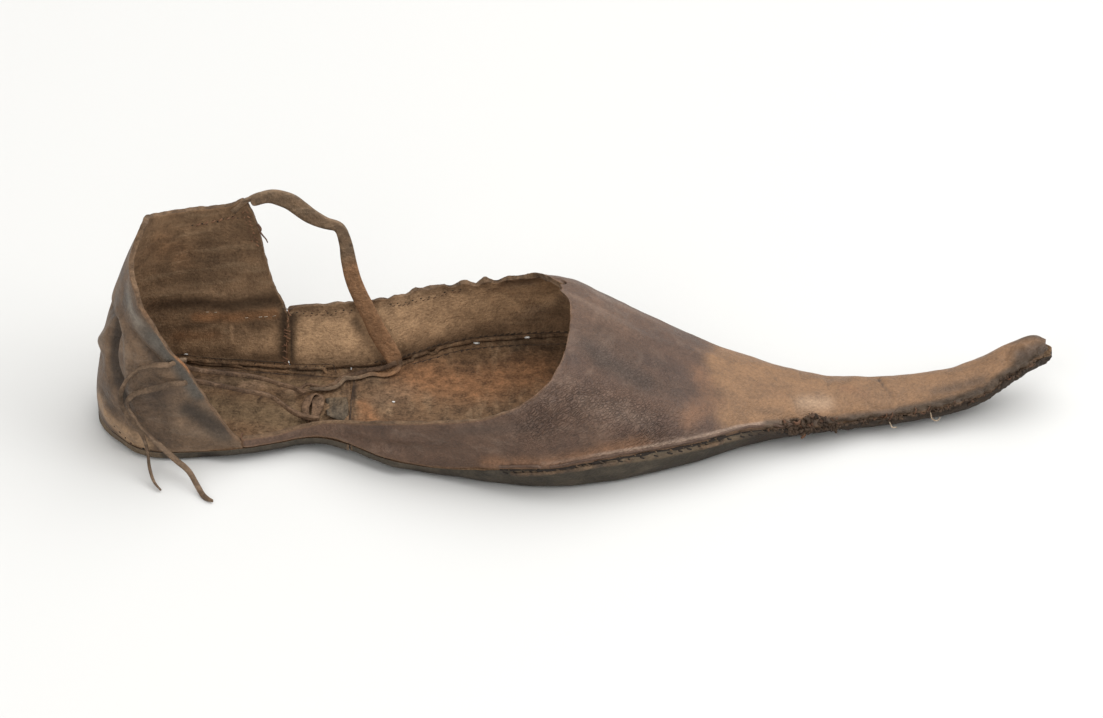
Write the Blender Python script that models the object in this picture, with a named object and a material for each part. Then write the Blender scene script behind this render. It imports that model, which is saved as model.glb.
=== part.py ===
# A right medieval turnshoe with a long pointed toe, empty and standing on its sole.
# Metres, +Z up. The toe points along +X and the outer side of the foot is -Y.
# The origin is on the floor under the middle of the heel.

import math
from collections import namedtuple

import bmesh
import bpy
from mathutils import Vector

LENGTH = 0.340              # back of the heel to the tip of the point
BALL_WIDTH = 0.094
WAIST_WIDTH = 0.0425
HEEL_WIDTH = 0.057
TOE_WIDTH = 0.024           # the hollow point, half way along it
INSTEP_HEIGHT = 0.0485      # top of the vamp at the throat
HEEL_HEIGHT = 0.084         # top of the quarter over the heel
HEEL_ROUND = 0.027          # radius of the heel in plan
HEEL_LEAN = 0.0184          # how far the back of the quarter leans forward at its top
TOE_SPRING = 0.016
TOE_SWING = 0.013           # the tip turns in towards the other foot
ARCH_LIFT = 0.0015
DISH_DEPTH = 0.0125         # how far the outer edge of the sole turns up
SOLE_THICKNESS = 0.0028
UPPER_WALL = 0.0019
SEAM_GAP = 0.0003           # clearance wherever two pieces meet
TIP_SOLID = 0.005           # the last of the point has no hollow
STRAP_WIDTH = 0.0065
STRAP_THICKNESS = 0.0015
TAIL_WIDTH = 0.0036
THONG_WIDTH = 0.0022
THONG_THICKNESS = 0.0013
LACE_DIAMETER = 0.0016
HEEL_CENTRE = 0.030         # middle of the heel, from its back

NEAR_SEAM_AT = 53.0 / 340.0   # side seams and the seam across the waist, as shares of the length
FAR_SEAM_AT = 68.5 / 340.0
WAIST_SEAM_AT = 91.0 / 340.0
TIP_START_AT = 0.74           # from here on the hollow runs out sooner than the outside

# Half widths of the sole from its centre line, the share of them that lies flat, and how far
# each edge turns up. at is the share of the length.
SoleRow = namedtuple("SoleRow", "at near far flat near_rise far_rise")
SOLE = [
    SoleRow(0.000, 0.49 * HEEL_WIDTH, 0.51 * HEEL_WIDTH, 0.80, 0.08 * DISH_DEPTH, 0.08 * DISH_DEPTH),
    SoleRow(0.080, 0.49 * HEEL_WIDTH, 0.51 * HEEL_WIDTH, 0.80, 0.08 * DISH_DEPTH, 0.08 * DISH_DEPTH),
    SoleRow(0.155, 0.45 * HEEL_WIDTH, 0.49 * HEEL_WIDTH, 0.80, 0.08 * DISH_DEPTH, 0.06 * DISH_DEPTH),
    SoleRow(0.235, 0.44 * WAIST_WIDTH, 0.56 * WAIST_WIDTH, 0.80, 0.08 * DISH_DEPTH, 0.06 * DISH_DEPTH),
    SoleRow(0.290, 0.325 * BALL_WIDTH, 0.275 * BALL_WIDTH, 0.80, 0.08 * DISH_DEPTH, 0.06 * DISH_DEPTH),
    SoleRow(0.365, 0.424 * BALL_WIDTH, 0.418 * BALL_WIDTH, 0.82, 0.20 * DISH_DEPTH, 0.08 * DISH_DEPTH),
    SoleRow(0.420, 0.498 * BALL_WIDTH, 0.462 * BALL_WIDTH, 0.85, 0.62 * DISH_DEPTH, 0.10 * DISH_DEPTH),
    SoleRow(0.480, 0.536 * BALL_WIDTH, 0.479 * BALL_WIDTH, 0.85, 0.86 * DISH_DEPTH, 0.14 * DISH_DEPTH),
    SoleRow(0.530, 0.508 * BALL_WIDTH, 0.457 * BALL_WIDTH, 0.84, 1.00 * DISH_DEPTH, 0.24 * DISH_DEPTH),
    SoleRow(0.580, 0.443 * BALL_WIDTH, 0.388 * BALL_WIDTH, 0.80, 0.94 * DISH_DEPTH, 0.40 * DISH_DEPTH),
    SoleRow(0.635, 0.367 * BALL_WIDTH, 0.290 * BALL_WIDTH, 0.72, 0.90 * DISH_DEPTH, 0.50 * DISH_DEPTH),
    SoleRow(0.680, 0.275 * BALL_WIDTH, 0.215 * BALL_WIDTH, 0.58, 0.80 * DISH_DEPTH, 0.48 * DISH_DEPTH),
    SoleRow(0.715, 0.86 * TOE_WIDTH, 0.62 * TOE_WIDTH, 0.42, 0.58 * DISH_DEPTH, 0.44 * DISH_DEPTH),
    SoleRow(0.755, 0.70 * TOE_WIDTH, 0.50 * TOE_WIDTH, 0.28, 0.40 * DISH_DEPTH, 0.38 * DISH_DEPTH),
    SoleRow(0.805, 0.52 * TOE_WIDTH, 0.45 * TOE_WIDTH, 0.20, 0.36 * DISH_DEPTH, 0.36 * DISH_DEPTH),
    SoleRow(0.882, 0.42 * TOE_WIDTH, 0.42 * TOE_WIDTH, 0.20, 0.36 * DISH_DEPTH, 0.36 * DISH_DEPTH),
    SoleRow(0.947, 0.38 * TOE_WIDTH, 0.38 * TOE_WIDTH, 0.20, 0.32 * DISH_DEPTH, 0.32 * DISH_DEPTH),
    SoleRow(0.982, 0.28 * TOE_WIDTH, 0.28 * TOE_WIDTH, 0.20, 0.22 * DISH_DEPTH, 0.22 * DISH_DEPTH),
    SoleRow(1.000, 0.11 * TOE_WIDTH, 0.11 * TOE_WIDTH, 0.20, 0.06 * DISH_DEPTH, 0.06 * DISH_DEPTH),
]

# The centre line of the sole: its height over the floor and its place to the side.
CentreRow = namedtuple("CentreRow", "at lift swing")
CENTRE = [
    CentreRow(0.000, 0.0, 0.0),
    CentreRow(0.190, 0.0, 0.0),
    CentreRow(0.260, 1.0 * ARCH_LIFT, 0.0),
    CentreRow(0.335, 0.0, 0.0),
    CentreRow(0.700, 0.0, -0.08 * TOE_SWING),
    CentreRow(0.800, 0.0, -0.06 * TOE_SWING),
    CentreRow(0.882, 0.07 * TOE_SPRING, 0.20 * TOE_SWING),
    CentreRow(0.928, 0.25 * TOE_SPRING, 0.54 * TOE_SWING),
    CentreRow(0.947, 0.50 * TOE_SPRING, 0.70 * TOE_SWING),
    CentreRow(0.970, 0.75 * TOE_SPRING, 0.86 * TOE_SWING),
    CentreRow(1.000, 1.00 * TOE_SPRING, 1.00 * TOE_SWING),
]

# The arch over the foot: its height, how square it is (2 is an ellipse) and how far each wall
# leans outward. Where the shoe is open only the foot of this arch is leather.
ArchRow = namedtuple("ArchRow", "at crown square near_flare far_flare")
ARCH = [
    ArchRow(0.000, 3.30 * INSTEP_HEIGHT, 4.0, 0.00, 0.00),
    ArchRow(0.155, 3.30 * INSTEP_HEIGHT, 4.0, 0.06, 0.03),
    ArchRow(0.205, 3.30 * INSTEP_HEIGHT, 4.0, 0.10, 0.06),
    ArchRow(0.255, 2.40 * INSTEP_HEIGHT, 3.8, 0.16, 0.14),
    ArchRow(0.300, 1.70 * INSTEP_HEIGHT, 3.4, 0.12, 0.16),
    ArchRow(0.350, 1.32 * INSTEP_HEIGHT, 3.0, 0.08, 0.10),
    ArchRow(0.400, 1.14 * INSTEP_HEIGHT, 2.8, 0.06, 0.00),
    ArchRow(0.450, 1.03 * INSTEP_HEIGHT, 2.6, 0.03, 0.00),
    ArchRow(0.500, 0.96 * INSTEP_HEIGHT, 2.6, 0.00, 0.00),
    ArchRow(0.527, 0.87 * INSTEP_HEIGHT, 2.4, 0.00, 0.00),
    ArchRow(0.565, 0.745 * INSTEP_HEIGHT, 2.2, 0.00, 0.00),
    ArchRow(0.596, 0.64 * INSTEP_HEIGHT, 2.1, 0.00, 0.00),
    ArchRow(0.635, 0.54 * INSTEP_HEIGHT, 2.1, 0.00, 0.00),
    ArchRow(0.685, 0.44 * INSTEP_HEIGHT, 2.0, 0.00, 0.00),
    ArchRow(0.715, 0.39 * INSTEP_HEIGHT, 2.0, 0.00, 0.00),
    ArchRow(0.755, 0.34 * INSTEP_HEIGHT, 2.0, 0.00, 0.00),
    ArchRow(0.805, 0.300 * INSTEP_HEIGHT, 2.0, 0.00, 0.00),
    ArchRow(0.882, 0.275 * INSTEP_HEIGHT, 2.0, 0.00, 0.00),
    ArchRow(0.928, 0.290 * INSTEP_HEIGHT, 2.0, 0.00, 0.00),
    ArchRow(0.947, 0.280 * INSTEP_HEIGHT, 2.0, 0.00, 0.00),
    ArchRow(0.970, 0.240 * INSTEP_HEIGHT, 2.0, 0.00, 0.00),
    ArchRow(1.000, 0.130 * INSTEP_HEIGHT, 2.0, 0.00, 0.00),
]

# Height of the vamp's cut edge over the floor on both sides. It closes over the foot at the throat.
ToplineRow = namedtuple("ToplineRow", "at near far")
THROAT_AT = 0.500
TOPLINE = [
    ToplineRow(0.150, 0.175 * INSTEP_HEIGHT, 0.62 * INSTEP_HEIGHT),
    ToplineRow(0.178, 0.150 * INSTEP_HEIGHT, 0.62 * INSTEP_HEIGHT),
    ToplineRow(0.205, 0.175 * INSTEP_HEIGHT, 0.62 * INSTEP_HEIGHT),
    ToplineRow(0.254, 0.270 * INSTEP_HEIGHT, 0.63 * INSTEP_HEIGHT),
    ToplineRow(0.298, 0.420 * INSTEP_HEIGHT, 0.605 * INSTEP_HEIGHT),
    ToplineRow(0.352, 0.505 * INSTEP_HEIGHT, 0.625 * INSTEP_HEIGHT),
    ToplineRow(0.400, 0.600 * INSTEP_HEIGHT, 0.640 * INSTEP_HEIGHT),
    ToplineRow(0.424, 0.670 * INSTEP_HEIGHT, 0.690 * INSTEP_HEIGHT),
    ToplineRow(0.450, 0.755 * INSTEP_HEIGHT, 0.780 * INSTEP_HEIGHT),
    ToplineRow(0.468, 0.825 * INSTEP_HEIGHT, 0.865 * INSTEP_HEIGHT),
    ToplineRow(0.482, 0.890 * INSTEP_HEIGHT, 0.935 * INSTEP_HEIGHT),
    ToplineRow(0.494, 0.930 * INSTEP_HEIGHT, 0.955 * INSTEP_HEIGHT),
]

# The quarter: height of its cut edge and how much of the heel's lean it takes. at runs round the
# heel, from -1 at the near side seam over 0 at the back to 1 at the far side seam.
QuarterRow = namedtuple("QuarterRow", "at height lean")
QUARTER = [
    QuarterRow(-1.000, 0.085 * HEEL_HEIGHT, 0.00),
    QuarterRow(-0.908, 0.195 * HEEL_HEIGHT, 0.10),
    QuarterRow(-0.830, 0.300 * HEEL_HEIGHT, 0.16),
    QuarterRow(-0.743, 0.445 * HEEL_HEIGHT, 0.20),
    QuarterRow(-0.620, 0.623 * HEEL_HEIGHT, 0.24),
    QuarterRow(-0.482, 0.764 * HEEL_HEIGHT, 0.32),
    QuarterRow(-0.379, 0.825 * HEEL_HEIGHT, 0.50),
    QuarterRow(-0.276, 0.858 * HEEL_HEIGHT, 0.75),
    QuarterRow(-0.138, 0.905 * HEEL_HEIGHT, 0.92),
    QuarterRow(0.000, 1.000 * HEEL_HEIGHT, 1.00),
    QuarterRow(0.120, 0.965 * HEEL_HEIGHT, 1.06),
    QuarterRow(0.253, 0.935 * HEEL_HEIGHT, 0.92),
    QuarterRow(0.506, 0.850 * HEEL_HEIGHT, 0.30),
    QuarterRow(0.768, 0.845 * HEEL_HEIGHT, 0.00),
    QuarterRow(0.818, 0.885 * HEEL_HEIGHT, 0.00),
    QuarterRow(0.842, 0.860 * HEEL_HEIGHT, 0.00),
    QuarterRow(0.881, 0.745 * HEEL_HEIGHT, 0.00),
    QuarterRow(0.912, 0.585 * HEEL_HEIGHT, 0.00),
    QuarterRow(0.940, 0.480 * HEEL_HEIGHT, 0.00),
    QuarterRow(0.969, 0.410 * HEEL_HEIGHT, 0.00),
    QuarterRow(1.000, 0.345 * HEEL_HEIGHT, 0.00),
]

SOLE_STEPS_AROUND_HEEL = 7
SOLE_STEP = 0.010            # spacing of the sole's and vamp's sections
EDGE_STEPS = 3               # faces across each turned-up edge of the sole
FLAT_STEPS = 4               # faces across its flat middle
ARCH_STEPS = 8               # faces from the seam up to the ridge of the vamp
QUARTER_STEPS = 9            # faces up the quarter
LEAN_POWER = 2.0


def along(table, column, at):
    """Read one column of a table at any place, on a smooth curve that never overshoots its rows."""
    spots = [row.at for row in table]
    values = [getattr(row, column) for row in table]
    if at <= spots[0]:
        return values[0]
    if at >= spots[-1]:
        return values[-1]
    last = len(table) - 1
    rates = [(values[i + 1] - values[i]) / (spots[i + 1] - spots[i]) for i in range(last)]

    def slope(i):
        if i == 0 or i == last or rates[i - 1] * rates[i] <= 0:
            return 0.0
        return 2 * rates[i - 1] * rates[i] / (rates[i - 1] + rates[i])

    i = next(k for k in range(last) if at <= spots[k + 1])
    span = spots[i + 1] - spots[i]
    s = (at - spots[i]) / span
    curve = values[i] * (1 + 2 * s) * (1 - s) ** 2 + values[i + 1] * (3 - 2 * s) * s ** 2
    return curve + span * (slope(i) * s * (1 - s) ** 2 - slope(i + 1) * (1 - s) * s ** 2)


def half_width(at, side):
    """Width of the sole to one side: -1 is the near, outer side and 1 the far, inner side."""
    past = max(0.0, 1 - at * LENGTH / HEEL_ROUND)
    return along(SOLE, "near" if side < 0 else "far", at) * math.sqrt(max(0.0, 1 - past ** 2))


def sole_point(at, across, top):
    """A point of the sole, from across -1 at the near edge to 1 at the far edge."""
    side = -1 if across < 0 else 1
    flat = along(SOLE, "flat", at)
    turned = max(0.0, abs(across) - flat) / (1 - flat)
    rise = along(SOLE, "near_rise" if side < 0 else "far_rise", at) * turned ** 2
    z = along(CENTRE, "lift", at) + rise + (SOLE_THICKNESS if top else 0.0)
    y = along(CENTRE, "swing", at) + across * half_width(at, side)
    return Vector((at * LENGTH - HEEL_CENTRE, y, z))


def seam_height(at, side):
    return sole_point(at, side, True).z + SEAM_GAP


def turn_at_height(at, side, height):
    """How far round the arch, from 0 at the seam to 1 at the ridge, a given height lies."""
    base = seam_height(at, side)
    crown = along(ARCH, "crown", at) + along(CENTRE, "lift", at)
    share = min(1.0, max(0.0, (height - base) / (crown - base)))
    return math.asin(share ** (along(ARCH, "square", at) / 2)) / (math.pi / 2)


def wall_point(at, side, turn):
    """The outer face of the upper: turn runs from 0 at the sole's edge to 1 at the ridge."""
    base = sole_point(at, side, True)
    bottom = base.z + SEAM_GAP
    middle = along(CENTRE, "swing", at) + (half_width(at, 1) - half_width(at, -1)) / 2
    crown = along(ARCH, "crown", at) + along(CENTRE, "lift", at)
    power = 2 / along(ARCH, "square", at)
    inward = max(0.0, math.cos(turn * math.pi / 2)) ** power
    upward = math.sin(turn * math.pi / 2) ** power
    flare = along(ARCH, "near_flare" if side < 0 else "far_flare", at)
    z = bottom + (crown - bottom) * upward
    y = middle + (base.y - middle) * inward + side * flare * (z - bottom) * inward
    return Vector((base.x, y, z))


def seam_run(side):
    """Length of the seam from the back of the heel to the side seam on one side."""
    seam = NEAR_SEAM_AT if side < 0 else FAR_SEAM_AT
    return HEEL_ROUND * math.pi / 2 + seam * LENGTH - HEEL_ROUND


def quarter_point(round_at, share):
    """The outer face of the quarter: round the heel from -1 to 1, and from seam to cut edge."""
    side = -1 if round_at < 0 else 1
    run = abs(round_at) * (seam_run(side) - SEAM_GAP / 2)
    corner = HEEL_ROUND * math.pi / 2
    at = run / HEEL_ROUND
    if run < corner:
        place = HEEL_ROUND * (1 - math.cos(at)) / LENGTH
        inward = Vector((math.cos(at), -side * math.sin(at), 0))
    else:
        place = (HEEL_ROUND + run - corner) / LENGTH
        inward = Vector((0, -side, 0))
    base = seam_height(place, side)
    height = base + (along(QUARTER, "height", round_at) - base) * share
    point = wall_point(place, side, turn_at_height(place, side, height))
    lean = HEEL_LEAN * along(QUARTER, "lean", round_at) * (height / HEEL_HEIGHT) ** LEAN_POWER
    return Vector((point.x, point.y, height)) + inward * lean


def normal_of(surface, u, v, step_u, step_v):
    """Unit normal of a surface of two values, from small steps that stay inside its range."""
    along_u = surface(min(1.0, u + step_u), v) - surface(max(-1.0, u - step_u), v)
    along_v = surface(u, min(1.0, v + step_v)) - surface(u, max(0.0, v - step_v))
    return along_u.cross(along_v).normalized()


def material(name, colour, roughness):
    new = bpy.data.materials.new(name)
    new.use_nodes = True
    shader = new.node_tree.nodes["Principled BSDF"]
    shader.inputs["Base Color"].default_value = (*colour, 1.0)
    shader.inputs["Roughness"].default_value = roughness
    return new


def add_object(name, bm, finish):
    bmesh.ops.recalc_face_normals(bm, faces=bm.faces)
    mesh = bpy.data.meshes.new(name)
    bm.to_mesh(mesh)
    bm.free()
    mesh.materials.append(finish)
    mesh.shade_smooth()
    mesh.set_sharp_from_angle(angle=math.radians(40))
    new = bpy.data.objects.new(name, mesh)
    bpy.context.scene.collection.objects.link(new)
    return new


def skin(bm, rows):
    """Faces between rows of vertices, leaving out faces that have shrunk to nothing."""
    for one, two in zip(rows, rows[1:]):
        for i in range(len(one) - 1):
            corners = list(dict.fromkeys((one[i], one[i + 1], two[i + 1], two[i])))
            if len(corners) > 2:
                bm.faces.new(corners)


def closed_shell(bm, outer, inner):
    """Close two matching sheets of vertices, one inside the other, round all four borders."""
    skin(bm, outer)
    skin(bm, inner)
    skin(bm, [outer[0], inner[0]])
    skin(bm, [outer[-1], inner[-1]])
    skin(bm, [[row[0] for row in outer], [row[0] for row in inner]])
    skin(bm, [[row[-1] for row in outer], [row[-1] for row in inner]])


def steps_between(first, last, spacing):
    count = max(1, round((last - first) / spacing))
    return [first + (last - first) * i / count for i in range(count + 1)]


def make_sole(name, stations, finish):
    bm = bmesh.new()
    sheets = []
    for top in (False, True):
        sheet = []
        for at in stations:
            flat = along(SOLE, "flat", at)
            edge = [flat + (1 - flat) * i / EDGE_STEPS for i in range(1, EDGE_STEPS + 1)]
            middle = [flat * (2 * i / FLAT_STEPS - 1) for i in range(FLAT_STEPS + 1)]
            spots = [-spot for spot in reversed(edge)] + middle + edge
            sheet.append([bm.verts.new(sole_point(at, spot, top)) for spot in spots])
        sheets.append(sheet)
    closed_shell(bm, *sheets)
    return add_object(name, bm, finish)


def make_quarter(finish):
    near = [-1.0, -0.95, -0.90, -0.84, -0.77, -0.70, -0.62]
    heel = [-0.55 + 0.07 * i for i in range(16)]
    far = [0.58, 0.67, 0.76, 0.79, 0.818, 0.842, 0.862, 0.881, 0.897, 0.912, 0.940, 0.969, 1.0]
    bm = bmesh.new()
    outer = []
    inner = []
    for place in near + heel + far:
        outer_row = []
        inner_row = []
        for i in range(QUARTER_STEPS + 1):
            share = i / QUARTER_STEPS
            point = quarter_point(place, share)
            inward = normal_of(quarter_point, place, share, 0.004, 0.02)
            outer_row.append(bm.verts.new(point))
            inner_row.append(bm.verts.new(point + inward * UPPER_WALL))
        outer.append(outer_row)
        inner.append(inner_row)
    for row, outside in zip(inner, outer):
        row[0].co.z = outside[0].co.z
    for place in (0, -1):
        for inside, outside in zip(inner[place], outer[place]):
            inside.co.x = outside.co.x
    closed_shell(bm, outer, inner)
    return add_object("upper_quarter", bm, finish)


def vamp_point(at, side, share):
    """Outer face of the vamp, from the seam (share 0) to its cut edge or ridge (share 1)."""
    top = 1.0
    if at < THROAT_AT:
        height = along(TOPLINE, "near" if side < 0 else "far", at)
        top = turn_at_height(at, side, height)
    return wall_point(at, side, share * top)


def vamp_half(bm, side, stations, ridge):
    """Outer and inner vertices of one half of the vamp. ridge holds the shared top vertices."""
    tip_room = 1.0 - TIP_START_AT
    tip_squeeze = (tip_room - TIP_SOLID / LENGTH) / tip_room
    outer = []
    inner = []
    for at in stations:
        hollow_at = at
        if at > TIP_START_AT:
            hollow_at = TIP_START_AT + (at - TIP_START_AT) * tip_squeeze
        outer_row = []
        inner_row = []
        for i in range(ARCH_STEPS + 1):
            share = i / ARCH_STEPS
            if i == ARCH_STEPS and (at, "outer") in ridge:
                outer_row.append(ridge[(at, "outer")])
                inner_row.append(ridge[(at, "inner")])
                continue
            surface = lambda a, s: vamp_point(a, side, s)
            inward = side * normal_of(surface, hollow_at, share, 0.002, 0.02)
            if i == ARCH_STEPS and at >= THROAT_AT:
                inward = Vector((inward.x, 0, inward.z)).normalized()
            outside = vamp_point(at, side, share)
            inside = vamp_point(hollow_at, side, share) + inward * UPPER_WALL
            if i == 0:
                inside.z = vamp_point(hollow_at, side, 0).z
            if at == stations[0]:
                inside.x = outside.x
            outer_row.append(bm.verts.new(outside))
            inner_row.append(bm.verts.new(inside))
            if i == ARCH_STEPS and at >= THROAT_AT:
                ridge[(at, "outer")] = outer_row[-1]
                ridge[(at, "inner")] = inner_row[-1]
        outer.append(outer_row)
        inner.append(inner_row)
    return outer, inner


def make_vamp(finish):
    throat = [0.405, 0.424, 0.440, 0.455, 0.468, 0.480, 0.490, THROAT_AT]
    toe = steps_between(THROAT_AT, 0.93, SOLE_STEP / LENGTH)[1:] + [0.948, 0.966, 0.982, 0.994]
    bm = bmesh.new()
    ridge = {}
    halves = []
    for side, seam in ((-1, NEAR_SEAM_AT), (1, FAR_SEAM_AT)):
        first = seam + SEAM_GAP / 2 / LENGTH
        stations = steps_between(first, 0.38, SOLE_STEP / LENGTH) + throat + toe
        halves.append(vamp_half(bm, side, stations, ridge))
    closed = len(toe) + 1
    for outer, inner in halves:
        skin(bm, outer)
        skin(bm, inner)
        skin(bm, [outer[0], inner[0]])
        skin(bm, [[row[0] for row in outer], [row[0] for row in inner]])
        skin(bm, [[row[-1] for row in outer[:-closed + 1]], [row[-1] for row in inner[:-closed + 1]]])
    (near_outer, near_inner), (far_outer, far_inner) = halves
    bm.faces.new(near_outer[-1] + far_outer[-1][-2::-1])
    bm.faces.new(near_inner[-1] + far_inner[-1][-2::-1])
    bm.faces.new((near_outer[-1][0], far_outer[-1][0], far_inner[-1][0], near_inner[-1][0]))
    return add_object("upper_vamp", bm, finish)


def smooth_route(points, parts):
    """Points on a smooth curve through a hand-chosen route, parts to each stretch."""
    route = [Vector(point) for point in points]
    route = [2 * route[0] - route[1]] + route + [2 * route[-1] - route[-2]]
    curve = []
    for a, b, c, d in zip(route, route[1:], route[2:], route[3:]):
        for i in range(parts):
            t = i / parts
            curve.append(0.5 * (2 * b + (c - a) * t + (2 * a - 5 * b + 4 * c - d) * t ** 2
                                + (3 * b - a - 3 * c + d) * t ** 3))
    return curve + [route[-2]]


def on_shoe(x, y, z):
    """A place given from the back of the heel, as shares of length, ball width and heel height."""
    return Vector((x * LENGTH - HEEL_CENTRE, y * BALL_WIDTH, z * HEEL_HEIGHT))


def make_band(name, rows, thickness, parts, finish):
    """Sweep a flat band along a route. Each row is a place, a width and the way its face looks."""
    places = smooth_route([row[0] for row in rows], parts)
    widths = smooth_route([(row[1], 0, 0) for row in rows], parts)
    faces = smooth_route([row[2] for row in rows], parts)
    bm = bmesh.new()
    sections = []
    for i, place in enumerate(places):
        ahead = places[min(i + 1, len(places) - 1)] - places[max(i - 1, 0)]
        ahead.normalize()
        sideways = ahead.cross(faces[i]).normalized()
        outward = sideways.cross(ahead).normalized()
        half = sideways * widths[i].x / 2
        deep = outward * thickness / 2
        corners = (place - half - deep, place + half - deep, place + half + deep, place - half + deep)
        sections.append([bm.verts.new(corner) for corner in corners])
    for one, two in zip(sections, sections[1:]):
        for i in range(4):
            j = (i + 1) % 4
            bm.faces.new((one[i], one[j], two[j], two[i]))
    bm.faces.new(sections[0])
    bm.faces.new(sections[-1])
    return add_object(name, bm, finish)


def make_ankle_strap(finish):
    """The slack strap, from the far quarter's top corner over and down to the sole."""
    side = Vector((0, -1, 0))
    up = Vector((0, 0, 1))
    slant = Vector((-0.3, -0.6, 0.7))
    deep = STRAP_THICKNESS / 2 + 2 * SEAM_GAP
    floor = (SOLE_THICKNESS + deep) / HEEL_HEIGHT
    waist_floor = floor + ARCH_LIFT / HEEL_HEIGHT
    rows = [
        (on_shoe(0.1640, 0.290, 0.872), 0.50 * STRAP_WIDTH, side),
        (on_shoe(0.1840, 0.298, 0.897), 0.80 * STRAP_WIDTH, side),
        (on_shoe(0.2060, 0.300, 0.868), 1.00 * STRAP_WIDTH, side),
        (on_shoe(0.2250, 0.300, 0.800), 0.95 * STRAP_WIDTH, side),
        (on_shoe(0.2420, 0.300, 0.757), 0.70 * STRAP_WIDTH, side),
        (on_shoe(0.2560, 0.297, 0.738), 0.62 * STRAP_WIDTH, side),
        (on_shoe(0.2620, 0.294, 0.670), 0.70 * STRAP_WIDTH, side),
        (on_shoe(0.2650, 0.290, 0.590), 0.80 * STRAP_WIDTH, side),
        (on_shoe(0.2700, 0.284, 0.500), 0.85 * STRAP_WIDTH, side),
        (on_shoe(0.2780, 0.276, 0.400), 0.90 * STRAP_WIDTH, side),
        (on_shoe(0.2880, 0.266, 0.305), 0.95 * STRAP_WIDTH, side),
        (on_shoe(0.2990, 0.256, 0.205), 1.00 * STRAP_WIDTH, side),
        (on_shoe(0.3110, 0.240, 0.125), 0.90 * STRAP_WIDTH, slant),
        (on_shoe(0.3150, 0.226, floor + 0.020), 1.20 * TAIL_WIDTH, up),
        (on_shoe(0.3040, 0.208, floor + 0.004), 1.05 * TAIL_WIDTH, up),
        (on_shoe(0.2880, 0.212, floor + 0.008), 0.95 * TAIL_WIDTH, up),
        (on_shoe(0.2740, 0.176, waist_floor), 1.00 * TAIL_WIDTH, up),
        (on_shoe(0.2600, 0.166, waist_floor), 1.00 * TAIL_WIDTH, up),
        (on_shoe(0.2510, 0.110, waist_floor), 0.95 * TAIL_WIDTH, up),
        (on_shoe(0.2380, 0.096, waist_floor), 0.80 * TAIL_WIDTH, up),
        (on_shoe(0.2240, 0.104, waist_floor), 0.70 * TAIL_WIDTH, up),
    ]
    return make_band("ankle_strap", rows, STRAP_THICKNESS, 3, finish)


def slit_place(round_at, height, depth):
    """A place beside the near quarter's wall: depth is negative inside it and positive outside."""
    cut = along(QUARTER, "height", round_at)
    share = height * HEEL_HEIGHT / cut
    outside = quarter_point(round_at, share)
    inward = normal_of(quarter_point, round_at, share, 0.004, 0.02)
    return outside - inward * depth


def make_thongs(finish):
    """The two thin strips inside, from the seat up to the slits in the near quarter."""
    up = Vector((0.1, 0.2, 1))
    floor = (SOLE_THICKNESS + ARCH_LIFT + THONG_THICKNESS / 2 + 2 * SEAM_GAP) / HEEL_HEIGHT
    inside = -(UPPER_WALL + 4 * SEAM_GAP)
    upper = [
        (on_shoe(0.2200, 0.064, floor + 0.002), THONG_WIDTH, up),
        (on_shoe(0.2090, 0.076, floor + 0.020), THONG_WIDTH, up),
        (on_shoe(0.1940, 0.044, 0.132), THONG_WIDTH, up),
        (on_shoe(0.1700, -0.012, 0.214), THONG_WIDTH, up),
        (on_shoe(0.1320, -0.110, 0.312), THONG_WIDTH, up),
        (on_shoe(0.1030, -0.200, 0.405), THONG_WIDTH, up),
        (slit_place(UPPER_SLIT.at, UPPER_SLIT.height, inside), THONG_WIDTH, up),
    ]
    lower = [
        (on_shoe(0.2360, -0.098, floor), THONG_WIDTH, up),
        (on_shoe(0.2200, -0.086, floor), THONG_WIDTH, up),
        (on_shoe(0.2050, -0.060, floor + 0.014), THONG_WIDTH, up),
        (on_shoe(0.1840, -0.068, 0.160), THONG_WIDTH, up),
        (on_shoe(0.1590, -0.117, 0.223), THONG_WIDTH, up),
        (on_shoe(0.1260, -0.186, 0.312), THONG_WIDTH, up),
        (slit_place(LOWER_SLIT.at, LOWER_SLIT.height, inside), THONG_WIDTH, up),
    ]
    make_band("thong_upper", upper, THONG_THICKNESS, 3, finish)
    make_band("thong_lower", lower, THONG_THICKNESS, 3, finish)


SlitRow = namedtuple("SlitRow", "at height")
UPPER_SLIT = SlitRow(-0.665, 0.495)
LOWER_SLIT = SlitRow(-0.660, 0.398)

# The thongs outside the slits, each with its free end on the floor. Metres, chosen by hand.
UPPER_LACE = [
    (-0.0022, -0.0288, 0.0424), (-0.0050, -0.0291, 0.0426), (-0.0080, -0.0284, 0.0420),
    (-0.0130, -0.0270, 0.0394), (-0.0168, -0.0260, 0.0350), (-0.0190, -0.0252, 0.0300),
    (-0.0198, -0.0250, 0.0260), (-0.0192, -0.0254, 0.0220), (-0.0168, -0.0268, 0.0184),
    (-0.0138, -0.0284, 0.0152), (-0.0117, -0.0302, 0.0118), (-0.0103, -0.0330, 0.0082),
    (-0.0096, -0.0376, 0.0046), (-0.0080, -0.0424, 0.0019), (-0.0056, -0.0465, 0.0011),
]
LOWER_LACE = [
    (-0.0024, -0.0291, 0.0344), (-0.0054, -0.0302, 0.0339), (-0.0096, -0.0298, 0.0324),
    (-0.0148, -0.0284, 0.0296), (-0.0174, -0.0279, 0.0258), (-0.0168, -0.0284, 0.0228),
    (-0.0146, -0.0295, 0.0200), (-0.0125, -0.0308, 0.0170), (-0.0078, -0.0332, 0.0130),
    (-0.0008, -0.0376, 0.0083), (0.0042, -0.0412, 0.0056), (0.0074, -0.0458, 0.0024),
    (0.0094, -0.0496, 0.0011), (0.0112, -0.0520, 0.0011), (0.0130, -0.0532, 0.0011),
]


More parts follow.
